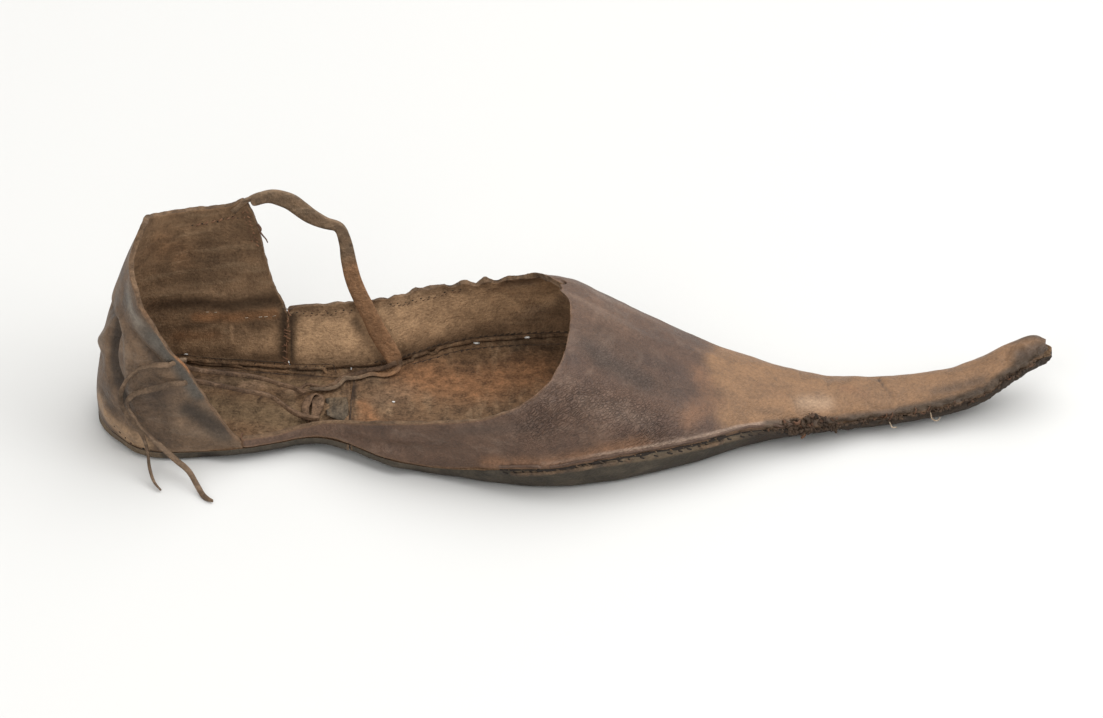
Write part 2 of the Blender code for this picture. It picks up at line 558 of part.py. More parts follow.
def make_lace(name, route, finish):
    curve = bpy.data.curves.new(name, "CURVE")
    curve.dimensions = "3D"
    curve.bevel_depth = LACE_DIAMETER / 2
    curve.bevel_resolution = 2
    curve.use_fill_caps = True
    points = smooth_route(route, 2)
    spline = curve.splines.new("POLY")
    spline.points.add(len(points) - 1)
    for spot, place in zip(spline.points, points):
        spot.co = (*place, 1.0)
    curve.materials.append(finish)
    new = bpy.data.objects.new(name, curve)
    bpy.context.scene.collection.objects.link(new)
    return new


def main():
    for old in list(bpy.data.objects):
        bpy.data.objects.remove(old, do_unlink=True)
    sole_leather = material("sole_leather", (0.24, 0.13, 0.06), 0.75)
    vamp_leather = material("vamp_leather", (0.13, 0.08, 0.06), 0.45)
    quarter_leather = material("quarter_leather", (0.09, 0.07, 0.06), 0.55)
    strap_leather = material("strap_leather", (0.20, 0.12, 0.05), 0.60)
    half_gap = SEAM_GAP / 2 / LENGTH
    heel = [HEEL_ROUND * (1 - math.cos(math.radians(8 + 82 * i / SOLE_STEPS_AROUND_HEEL))) / LENGTH
            for i in range(SOLE_STEPS_AROUND_HEEL + 1)]
    seat = heel[:-1] + steps_between(heel[-1], WAIST_SEAM_AT - half_gap, SOLE_STEP / LENGTH)
    front = steps_between(WAIST_SEAM_AT + half_gap, 0.93, SOLE_STEP / LENGTH)
    make_sole("sole_seat", seat, sole_leather)
    make_sole("sole_forepart", front + [0.948, 0.966, 0.984, 1.0], sole_leather)
    make_quarter(quarter_leather)
    make_vamp(vamp_leather)
    make_ankle_strap(strap_leather)
    make_thongs(strap_leather)
    make_lace("lace_end_upper", UPPER_LACE, strap_leather)
    make_lace("lace_end_lower", LOWER_LACE, strap_leather)


main()
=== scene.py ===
import math
import random

import bmesh
import bpy
import numpy as np
from mathutils import Matrix, Vector, noise
from mathutils.bvhtree import BVHTree
from mathutils.kdtree import KDTree


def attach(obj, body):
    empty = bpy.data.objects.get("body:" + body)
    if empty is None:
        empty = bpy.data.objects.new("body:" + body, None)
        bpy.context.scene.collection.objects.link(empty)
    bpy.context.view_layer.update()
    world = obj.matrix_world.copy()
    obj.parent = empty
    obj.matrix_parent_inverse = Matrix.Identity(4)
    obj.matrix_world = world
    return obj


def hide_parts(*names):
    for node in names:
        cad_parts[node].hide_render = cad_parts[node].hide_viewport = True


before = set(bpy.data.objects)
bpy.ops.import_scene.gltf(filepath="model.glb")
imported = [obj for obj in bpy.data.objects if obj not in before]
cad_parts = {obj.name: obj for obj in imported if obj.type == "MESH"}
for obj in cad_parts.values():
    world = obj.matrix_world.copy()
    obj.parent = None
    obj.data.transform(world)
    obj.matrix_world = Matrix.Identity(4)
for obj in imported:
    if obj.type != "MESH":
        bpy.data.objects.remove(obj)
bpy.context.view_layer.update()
mm = 0.001                             # routes and sizes below are in millimetres
outside, inside, cutEdge = 0, 1, 2     # material places on every leather piece


# The camera and the light
view = {
    "target": (0.1323, 0.0, 0.02485),
    "elevation": 35.0,
    "distance": 6.0,
    "width": 0.3905,           # what the picture is wide, at the target
}
tilt = math.radians(view["elevation"])
away = Vector((0.0, -math.cos(tilt), math.sin(tilt))) * view["distance"]
camera = bpy.data.objects.new("camera", bpy.data.cameras.new("camera"))
camera.location = Vector(view["target"]) + away
camera.rotation_euler = (math.radians(90 - view["elevation"]), 0.0, 0.0)
camera.data.sensor_width = 36.0
camera.data.lens = 36.0 * view["distance"] / view["width"]
camera.data.clip_end = 50.0
bpy.context.scene.collection.objects.link(camera)
bpy.context.scene.camera = camera
bpy.context.scene.view_settings.view_transform = "Standard"

studio = {
    "overhead": {"at": (0.58, 0.36, 1.66), "size": 2.9, "power": 52.0},
    "front": {"at": (-0.45, -1.5, 1.15), "size": 1.2, "power": 13.0},
    "right": {"at": (1.45, -0.55, 0.9), "size": 1.0, "power": 9.0},
}
for name, lamp in studio.items():
    light = bpy.data.lights.new(name, "AREA")
    light.shape = "SQUARE"
    light.size = lamp["size"]
    light.energy = lamp["power"]
    stand = bpy.data.objects.new(name, light)
    stand.location = lamp["at"]
    aim = Vector(view["target"]) - Vector(lamp["at"])
    stand.rotation_euler = aim.to_track_quat("-Z", "Y").to_euler()
    bpy.context.scene.collection.objects.link(stand)
world = bpy.data.worlds.new("studio")
world.use_nodes = True
world.node_tree.nodes["Background"].inputs["Color"].default_value = (1.0, 0.99, 0.97, 1.0)
world.node_tree.nodes["Background"].inputs["Strength"].default_value = 0.46
bpy.context.scene.world = world
print("stage: camera and light")


# Shader building
class Wire:
    def __init__(self, tree, socket):
        self.tree, self.socket = tree, socket

    def maths(self, operation, other=0.0, flip=False):
        node = self.tree.nodes.new("ShaderNodeMath")
        node.operation = operation
        pair = (other, self) if flip else (self, other)
        for place, value in zip(node.inputs, pair):
            if isinstance(value, Wire):
                self.tree.links.new(value.socket, place)
            else:
                place.default_value = value
        return Wire(self.tree, node.outputs[0])

    def __add__(self, other): return self.maths("ADD", other)
    def __radd__(self, other): return self.maths("ADD", other, True)
    def __sub__(self, other): return self.maths("SUBTRACT", other)
    def __rsub__(self, other): return self.maths("SUBTRACT", other, True)
    def __mul__(self, other): return self.maths("MULTIPLY", other)
    def __rmul__(self, other): return self.maths("MULTIPLY", other, True)


class Bench:
    def __init__(self, name):
        self.material = bpy.data.materials.new(name)
        self.material.use_nodes = True
        self.tree = self.material.node_tree
        self.tree.nodes.clear()

    def node(self, kind, settings=None, inputs=None, output=0):
        made = self.tree.nodes.new(kind)
        for key, value in (settings or {}).items():
            if key == "stops":
                while len(made.color_ramp.elements) < len(value):
                    made.color_ramp.elements.new(0.5)
                for stop, (at, colour) in zip(made.color_ramp.elements, value):
                    stop.position, stop.color = at, colour
            else:
                setattr(made, key, value)
        for key, value in (inputs or {}).items():
            if isinstance(value, Wire):
                self.tree.links.new(value.socket, made.inputs[key])
            else:
                made.inputs[key].default_value = value
        return Wire(self.tree, made.outputs[output]) if made.outputs else made

    def place(self):
        return self.node("ShaderNodeTexCoord", output="Object")

    def attribute(self, name):
        return self.node("ShaderNodeAttribute", {"attribute_name": name}, output="Fac")

    def stretched(self, scale):
        return self.node("ShaderNodeMapping", inputs={"Vector": self.place(), "Scale": scale})

    def speckle(self, scale, detail=3.0, rough=0.55, vector=None, distortion=0.0):
        where = vector if vector is not None else self.place()
        return self.node("ShaderNodeTexNoise", inputs={
                "Vector": where, "Scale": scale, "Detail": detail, "Roughness": rough,
                "Distortion": distortion})

    def cells(self, scale, feature="DISTANCE_TO_EDGE", vector=None):
        where = vector if vector is not None else self.place()
        return self.node("ShaderNodeTexVoronoi", {"feature": feature},
            {"Vector": where, "Scale": scale})

    def soften(self, value, low, high, start=0.0, end=1.0):
        return self.node("ShaderNodeMapRange", {"interpolation_type": "SMOOTHSTEP"}, {
                "Value": value, "From Min": low, "From Max": high, "To Min": start, "To Max": end})

    def blend(self, factor, first, second, kind="MIX"):
        def paint(value):
            return value if isinstance(value, Wire) else (*value, 1.0)
        return self.node("ShaderNodeMix", {"data_type": "RGBA", "blend_type": kind, "clamp_factor": True},
            {0: factor, 6: paint(first), 7: paint(second)}, 2)

    def finish(self, colour, roughness, height, depth, fixed=None):
        bump = self.node("ShaderNodeBump", inputs={"Height": height, "Strength": 1.0, "Distance": depth})
        shader = self.node("ShaderNodeBsdfPrincipled", inputs={
                "Base Color": colour, "Roughness": roughness, "Normal": bump, **(fixed or {})})
        self.node("ShaderNodeOutputMaterial", inputs={"Surface": shader})
        return self.material


def leather(name, look):
    bench = Bench(name)
    broad = bench.speckle(look["blotch"], 5.0, 0.62, distortion=0.5)
    middle = bench.speckle(look["blotch"] * 4.3, 4.0, 0.66, distortion=0.3)
    streak = bench.speckle(1.0, 4.0, 0.6, bench.stretched(look["streak"]), 0.5)
    fine = bench.speckle(look["fine"], 4.0, 0.7)
    wander = bench.node("ShaderNodeVectorMath", {"operation": "SCALE"}, {
            0: bench.node("ShaderNodeTexNoise",
                inputs={"Vector": bench.place(), "Scale": 420.0, "Detail": 2.0}, output="Color"),
            "Scale": look["crinkleTwist"] * mm})
    bent = bench.node("ShaderNodeVectorMath", {"operation": "ADD"}, {0: bench.place(), 1: wander})
    crinkle = bench.soften(bench.cells(look["crinkle"], vector=bench.node(
                "ShaderNodeMapping", {"vector_type": "TEXTURE"},
                {"Vector": bent, "Rotation": look["crinkleTurn"], "Scale": look["crinkleShape"]})), 0.0,
        0.26)
    grained = bench.attribute("grained") if "grained" in look["paints"] else 0.0
    colour = bench.blend(bench.soften(broad, 0.34, 0.64), look["deep"], look["colour"])
    colour = bench.blend(bench.soften(streak, 0.48, 0.72, 0.0, look["streaking"]), colour, look["pale"])
    broken = 0.55 + broad * 0.5 + middle * 0.5
    for paint, shade in look["paints"].items():
        if shade is None:
            continue
        mask = bench.attribute(paint) * broken
        colour = bench.blend(bench.soften(mask, 0.1, 0.85), colour, shade)
    worn = bench.soften(bench.attribute("edgeDist") + middle * 2.0 - 1.0, 0.0, look["wearWidth"],
        look["wear"], 0.0)
    colour = bench.blend(worn, colour, look["cut"])
    # inward folds darker: dirt and painted shade in the folds
    foldDirtAndShade = bench.soften(bench.attribute("trough") * -1.0, 0.1, 2.2, 0.0, 0.7)
    colour = bench.blend(foldDirtAndShade, colour, look["foldDirtAndShade"])
    # raised folds paler: painted highlight and rubbing wear on the ridges
    ridgeHighlightAndRubMask = bench.soften(bench.attribute("trough"), 0.3, 1.8, 0.0, look["ridgeHighlightAndRub"])
    colour = bench.blend(ridgeHighlightAndRubMask, colour, look["pale"])
    shade = 0.5 + (bench.soften(middle, 0.3, 0.7) - 0.5) * look["mottle"] + (fine - 0.5) * look["speck"] \
        - (1.0 - crinkle) * (look["crinkleDark"] + grained * look["grainedDark"])
    colour = bench.blend(shade, bench.blend(1.0, colour, (0.4, 0.39, 0.38), "MULTIPLY"),
        bench.blend(1.0, colour, (1.6, 1.61, 1.62), "MULTIPLY"))
    height = crinkle * (look["crinkleHigh"] + grained * look["grainedHigh"])
    height = height + middle * look["wrinkleHigh"] + fine * look["fineHigh"] + streak * look["streakHigh"]
    roughness = bench.soften(middle, 0.3, 0.7, look["rough"][0], look["rough"][1])
    return bench.finish(colour, roughness, height, look["bump"], look.get("fixed"))


# Turning a CAD node into soft leather
def looseCopy(nodeName, sharp=55.0, crease=1.0):
    sheet = bmesh.new()
    sheet.from_mesh(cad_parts[nodeName].data)
    bmesh.ops.remove_doubles(sheet, verts=sheet.verts, dist=1e-5)
    bmesh.ops.join_triangles(sheet, faces=sheet.faces, angle_face_threshold=math.pi,
        angle_shape_threshold=math.pi)
    sheet.faces.ensure_lookup_table()
    seen, regions = set(), []
    for first in sheet.faces:          # faces that meet softly are one side of the leather
        if first in seen:
            continue
        seen.add(first)
        stack, region = [first], []
        while stack:
            face = stack.pop()
            region.append(face)
            for edge in face.edges:
                if len(edge.link_faces) == 2 and edge.calc_face_angle() < math.radians(sharp):
                    for other in edge.link_faces:
                        if other not in seen:
                            seen.add(other)
                            stack.append(other)
        regions.append(region)
    regions.sort(key=lambda region: -sum(face.calc_area() for face in region))
    for place, region in enumerate(regions):
        for face in region:
            face.material_index = min(place, cutEdge)
    creases = sheet.edges.layers.float.new("crease_edge")
    for edge in sheet.edges:
        if len({face.material_index for face in edge.link_faces}) > 1:
            edge[creases] = crease
    return sheet


def newPiece(name, mesh):
    piece = bpy.data.objects.new(name, mesh)
    bpy.context.scene.collection.objects.link(piece)
    return piece


def finerMesh(name, sheet, levels):
    mesh = bpy.data.meshes.new(name)
    sheet.to_mesh(mesh)
    sheet.free()
    piece = newPiece(name, mesh)
    smooth = piece.modifiers.new("smooth", "SUBSURF")
    smooth.levels = smooth.render_levels = levels
    smooth.boundary_smooth = "PRESERVE_CORNERS"
    graph = bpy.context.evaluated_depsgraph_get()
    finer = bpy.data.meshes.new_from_object(piece.evaluated_get(graph))
    piece.modifiers.clear()
    piece.data = finer
    finer.name = name
    for polygon in finer.polygons:
        polygon.use_smooth = True
    return piece


def meshArrays(mesh):
    points = np.zeros(len(mesh.vertices) * 3)
    mesh.vertices.foreach_get("co", points)
    normals = np.zeros(len(mesh.vertices) * 3)
    mesh.vertex_normals.foreach_get("vector", normals)
    return points.reshape(-1, 3), normals.reshape(-1, 3)


def vertexSides(mesh):
    sides = np.full(len(mesh.vertices), -1)
    for polygon in mesh.polygons:
        for corner in polygon.vertices:
            sides[corner] = max(sides[corner], polygon.material_index)
    return sides


def fromRoute(points, route):
    # how far every point is from a line through the route
    nearest = np.full(len(points), 1e9)
    route = np.array(route, float) * mm
    if len(route) == 1:
        return np.linalg.norm(points - route[0], axis=1)
    for start, end in zip(route[:-1], route[1:]):
        span = end - start
        share = np.clip((points - start) @ span / (span @ span), 0.0, 1.0)
        nearest = np.minimum(nearest, np.linalg.norm(points - start - share[:, None] * span, axis=1))
    return nearest


def inMetres(spot):
    return Vector([value * mm for value in spot])


def bellNear(points, route, width):
    return np.exp(-(fromRoute(points, route) / width) ** 2)


def waves(points, scale, seed, stretch=(1.0, 1.0, 1.0)):
    shift = Vector((seed * 7.3, seed * 3.1, seed * 5.7))
    grown = points * np.array(stretch) / scale
    return np.array([noise.noise(Vector(point) + shift) for point in grown])


def nearestMix(tree, points, values, count=4):
    # smooth reading of values kept at the tree's points
    mixed = np.zeros((len(points), values.shape[1]))
    for row, point in enumerate(points):
        found = tree.find_n(point, count)
        weights = np.array([1.0 / (distance + 1e-5) for _, _, distance in found])
        mixed[row] = weights @ values[[index for _, index, _ in found]] / weights.sum()
    return mixed


def treeOf(points):
    tree = KDTree(len(points))
    for index, point in enumerate(points):
        tree.insert(point, index)
    tree.balance()
    return tree


def keepAttribute(mesh, name, values):
    layer = mesh.attributes.get(name) or mesh.attributes.new(name, "FLOAT", "POINT")
    layer.data.foreach_set("value", np.asarray(values, np.float32))


noiseSeeds = {"fray": 31, "fineFray": 41, "bands": 51, "lumps": 71}


def shapeLeather(piece, settings):
    mesh = piece.data
    points, normals = meshArrays(mesh)
    sides = vertexSides(mesh)
    outer = np.flatnonzero(sides == outside)
    outerTree = treeOf(points[outer])
    push = np.zeros(len(outer))
    for route, width, depth in settings["folds"].values():
        push += depth * mm * bellNear(points[outer], route, width * mm)
    trough = push.copy() / mm
    for seed, (scale, high, stretch) in enumerate(settings["waves"]):
        push += high * mm * waves(points[outer], scale * mm, seed + settings["seed"], stretch)
    for seed, (route, width, scale, high) in enumerate(settings.get("lumps", [])):
        lump = waves(points[outer], scale * mm, seed + noiseSeeds["lumps"])
        push += high * mm * lump * bellNear(points[outer], route, width * mm)
    vectors = normals[outer] * push[:, None]
    moved = nearestMix(outerTree, points, np.column_stack([vectors, trough]))
    rimPoints = np.flatnonzero(sides == cutEdge)
    rimTree = treeOf(points[rimPoints])
    edgeDist = np.array([rimTree.find(point)[2] for point in points]) / mm
    fray = settings["fray"]
    if fray["high"]:
        loose = np.array([fray["where"](*point) for point in points / mm])
        rimOut = nearestMix(rimTree, points, normals[rimPoints], 3)
        reach = fray["high"] * mm * waves(points, fray["scale"] * mm, noiseSeeds["fray"] + settings["seed"])
        reach += 0.35 * fray["high"] * mm * waves(points, fray["scale"] * 0.3 * mm,
            noiseSeeds["fineFray"] + settings["seed"])
        moved[:, :3] += rimOut * (reach * loose * np.exp(-edgeDist / fray["fade"]))[:, None]
    for route, width, vector in settings.get("pulls", {}).values():
        moved[:, :3] += np.array(vector)[None, :] * mm * bellNear(points, route, width * mm)[:, None]
    points = points + moved[:, :3]
    mesh.vertices.foreach_set("co", points.ravel())
    mesh.update()
    facing = np.where(sides == inside, -1.0, 1.0)
    keepAttribute(mesh, "trough", moved[:, 3] * facing)
    keepAttribute(mesh, "edgeDist", edgeDist)
    for paint, patches in settings["paints"].items():
        amount = np.zeros(len(points))
        for side, route, width, strength in patches:
            here = strength * bellNear(points, route, width * mm)
            if side is not None:
                here = here * (sides == side)
            amount = np.maximum(amount, here)
        keepAttribute(mesh, paint, amount)
    return piece


def softLeather(nodeName, settings, materials, levels):
    piece = finerMesh(settings["name"], looseCopy(nodeName), levels)
    shapeLeather(piece, settings)
    places = np.zeros(len(piece.data.polygons), np.int32)
    piece.data.polygons.foreach_get("material_index", places)
    piece.data.materials.clear()
    for material in materials:
        piece.data.materials.append(material)
    piece.data.polygons.foreach_set("material_index", places)
    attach(piece, "root")
    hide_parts(nodeName)
    print("stage:", settings["name"], len(piece.data.polygons), "faces")
    return piece


def surfaceOf(*pieces):
    points, faces = [], []
    for piece in pieces:
        base = len(points)
        points += [vertex.co.copy() for vertex in piece.data.vertices]
        faces += [tuple(base + corner for corner in polygon.vertices) for polygon in piece.data.polygons]
    return BVHTree.FromPolygons(points, faces)


# The leathers
outerLook = {
    "colour": (0.15, 0.093, 0.054), "deep": (0.08, 0.051, 0.033), "pale": (0.215, 0.16, 0.114),
    "cut": (0.27, 0.145, 0.07), "foldDirtAndShade": (0.022, 0.016, 0.012),
    "blotch": 42.0, "streak": (70.0, 70.0, 330.0), "streaking": 0.3, "fine": 900.0,
    "mottle": 0.36, "speck": 1.0, "wear": 0.35, "wearWidth": 1.0, "ridgeHighlightAndRub": 0.35,
    "crinkle": 1000.0, "crinkleShape": (3.0, 0.85, 1.0), "crinkleTurn": (0.0, -0.49, 0.48),
    "crinkleTwist": 1.0,
    "crinkleDark": 0.02, "crinkleHigh": 0.1, "grainedDark": 0.0, "grainedHigh": 0.0,
    "wrinkleHigh": 1.0, "fineHigh": 0.45, "streakHigh": 0.6, "bump": 0.0007,
    "rough": (0.45, 0.62),
    "paints": {"cool": (0.078, 0.066, 0.053), "warm": (0.285, 0.18, 0.102), "pale": (0.31, 0.27, 0.22),
        "dark": (0.036, 0.025, 0.017)},
    "fixed": {"Coat Weight": 0.04, "Coat Roughness": 0.4, "IOR": 1.38},
}
vampLook = {
    **outerLook, "colour": (0.108, 0.062, 0.04), "deep": (0.078, 0.045, 0.031),
    "pale": (0.215, 0.148, 0.108), "streak": (110.0, 70.0, 240.0), "blotch": 30.0, "crinkleHigh": 0.16,
    "wrinkleHigh": 0.7, "fineHigh": 0.3, "mottle": 0.28,
    "crinkleDark": 0.02, "grainedDark": 0.05, "grainedHigh": 0.62,
    "paints": {"cool": (0.068, 0.052, 0.043), "tan": (0.205, 0.114, 0.058), "warm": (0.165, 0.085, 0.046),
        "pale": (0.25, 0.175, 0.128), "cream": (0.325, 0.218, 0.14), "rust": (0.195, 0.095, 0.048),
        "grime": (0.074, 0.048, 0.032), "soot": (0.058, 0.037, 0.022), "dark": (0.026, 0.018, 0.014),
        "grained": None},
    "fixed": {"Coat Weight": 0.05, "Coat Roughness": 0.34, "IOR": 1.36},
}
insideLook = {
    **outerLook, "colour": (0.205, 0.124, 0.068), "deep": (0.13, 0.078, 0.043),
    "pale": (0.31, 0.21, 0.125), "cut": (0.2, 0.11, 0.056), "foldDirtAndShade": (0.08, 0.049, 0.029),
    "blotch": 48.0, "streak": (45.0, 45.0, 260.0), "streaking": 0.45, "fine": 1000.0,
    "crinkleHigh": 0.1, "crinkleDark": 0.05, "wrinkleHigh": 1.0, "fineHigh": 0.8, "bump": 0.0006,
    "rough": (0.82, 0.96), "wear": 0.3,
    "paints": {"warm": (0.25, 0.125, 0.058), "cool": (0.235, 0.182, 0.135), "pale": (0.44, 0.278, 0.156),
        "dark": (0.045, 0.028, 0.017)},
    "fixed": {"IOR": 1.3},
}
insoleLook = {
    **insideLook, "colour": (0.172, 0.1, 0.053), "deep": (0.108, 0.064, 0.036), "blotch": 64.0,
    "streak": (210.0, 45.0, 45.0), "mottle": 0.55, "speck": 1.7,
    "paints": {"cool": (0.112, 0.078, 0.048), "warm": (0.24, 0.116, 0.054), "olive": (0.165, 0.108, 0.06),
        "pale": (0.235, 0.15, 0.092), "dark": (0.04, 0.025, 0.016)},
}
soleLook = {
    **outerLook, "colour": (0.062, 0.05, 0.036), "deep": (0.04, 0.032, 0.023), "pale": (0.13, 0.104, 0.074),
    "cut": (0.185, 0.115, 0.066), "wear": 0.75, "wearWidth": 1.4, "streak": (55.0, 240.0, 240.0),
    "rough": (0.62, 0.82), "fixed": {"IOR": 1.35},
    "paints": {"warm": (0.145, 0.103, 0.065), "brown": (0.038, 0.026, 0.018), "dark": (0.018, 0.013, 0.01)},
}
edgeLook = {
    **insideLook, "colour": (0.165, 0.102, 0.059), "deep": (0.085, 0.053, 0.033),
    "pale": (0.25, 0.165, 0.105),
    "foldDirtAndShade": (0.08, 0.05, 0.03), "blotch": 120.0, "wear": 0.0,
    "paints": {"rust": (0.26, 0.125, 0.058), "grime": (0.045, 0.03, 0.021)},
}
strapLook = {
    **outerLook, "colour": (0.18, 0.12, 0.074), "deep": (0.105, 0.07, 0.044), "pale": (0.32, 0.225, 0.145),
    "blotch": 90.0, "streak": (80.0, 330.0, 330.0), "streaking": 0.5, "rough": (0.65, 0.85),
    "wear": 0.4, "wearWidth": 1.0, "paints": {}, "fixed": {"IOR": 1.35},
}
threadLook = {
    **strapLook, "colour": (0.07, 0.043, 0.026), "deep": (0.036, 0.022, 0.014),
    "pale": (0.15, 0.095, 0.058),
    "paints": {}, "wear": 0.0,
}
vampOutside = leather("vampOutside", vampLook)
quarterOutside = leather("quarterOutside", outerLook)
wallInside = leather("wallInside", insideLook)
insole = leather("insole", insoleLook)
soleOutside = leather("soleOutside", soleLook)
cutLeather = leather("cutLeather", edgeLook)
strapLeather = leather("strapLeather", {**strapLook, "colour": (0.2, 0.128, 0.075),
        "paints": {"warm": (0.235, 0.125, 0.062), "dark": (0.09, 0.056, 0.034)}})
laceLeather = leather("laceLeather", {**strapLook, "colour": (0.15, 0.097, 0.06),
        "deep": (0.08, 0.052, 0.033), "pale": (0.27, 0.185, 0.12)})
thongLeather = leather("thongLeather", {**insoleLook, "colour": (0.14, 0.084, 0.05),
        "deep": (0.078, 0.047, 0.029),
        "pale": (0.25, 0.16, 0.1), "streak": (60.0, 300.0, 300.0),
        "streaking": 0.6, "paints": {}})
patchLeather = leather("patchLeather", {**insoleLook, "colour": (0.088, 0.068, 0.048),
        "deep": (0.056, 0.043, 0.03), "paints": {}})
randLeather = leather("randLeather", {**soleLook, "colour": (0.15, 0.095, 0.056),
        "deep": (0.062, 0.043, 0.03),
        "pale": (0.2, 0.145, 0.095), "blotch": 110.0, "paints": {}})
# glint: pale painted light for light seen through gaps in the seams
glint = leather("glint", {**insideLook, "colour": (0.8, 0.79, 0.76), "deep": (0.7, 0.69, 0.66),
        "pale": (0.85, 0.84, 0.82), "paints": {}, "wear": 0.0})
darkThread = leather("darkThread", threadLook)
redThread = leather("redThread", {**threadLook, "colour": (0.125, 0.062, 0.035),
        "deep": (0.07, 0.036, 0.022)})
rustThread = leather("rustThread", {**threadLook, "colour": (0.215, 0.108, 0.058),
        "deep": (0.115, 0.06, 0.035), "pale": (0.3, 0.18, 0.11)})
paleThread = leather("paleThread", {**threadLook, "colour": (0.45, 0.36, 0.26), "deep": (0.3, 0.22, 0.15),
        "pale": (0.62, 0.55, 0.44)})
# near-black painted shade for awl holes and for the gap in the outer seam
holeShadeBench = Bench("holeAndGapShade")
holeAndGapShade = holeShadeBench.finish(
    holeShadeBench.blend(holeShadeBench.speckle(900.0), (0.01, 0.007, 0.005), (0.028, 0.018, 0.012)),
    0.95, holeShadeBench.speckle(1500.0), 0.0002)
print("stage: materials")


def lowerEdge(nodeName, near=True):
    # the outer bottom edge of a node's leather, from heel to toe, read from the CAD itself
    sheet = looseCopy(nodeName)
    spots = []
    for vertex in sheet.verts:
        places = {face.material_index for face in vertex.link_faces}
        down = any(face.material_index == cutEdge and face.normal.z < -0.4 for face in vertex.link_faces)
        if outside in places and down:
            spots.append(vertex.co.copy())
    slices = {}                        # the leather's width in every 4 mm of its length
    for spot in spots:
        slices.setdefault(round(spot.x / (4 * mm)), []).append(spot.y)
    picked = []
    for spot in spots:
        across = slices[round(spot.x / (4 * mm))]
        if (spot.y < 0.5 * (max(across) + min(across))) == near:
            picked.append(spot)
    sheet.free()
    return sorted(picked, key=lambda spot: spot.x)


nearSeam = lowerEdge("upper_vamp")
print("stage: near seam", len(nearSeam), "points")

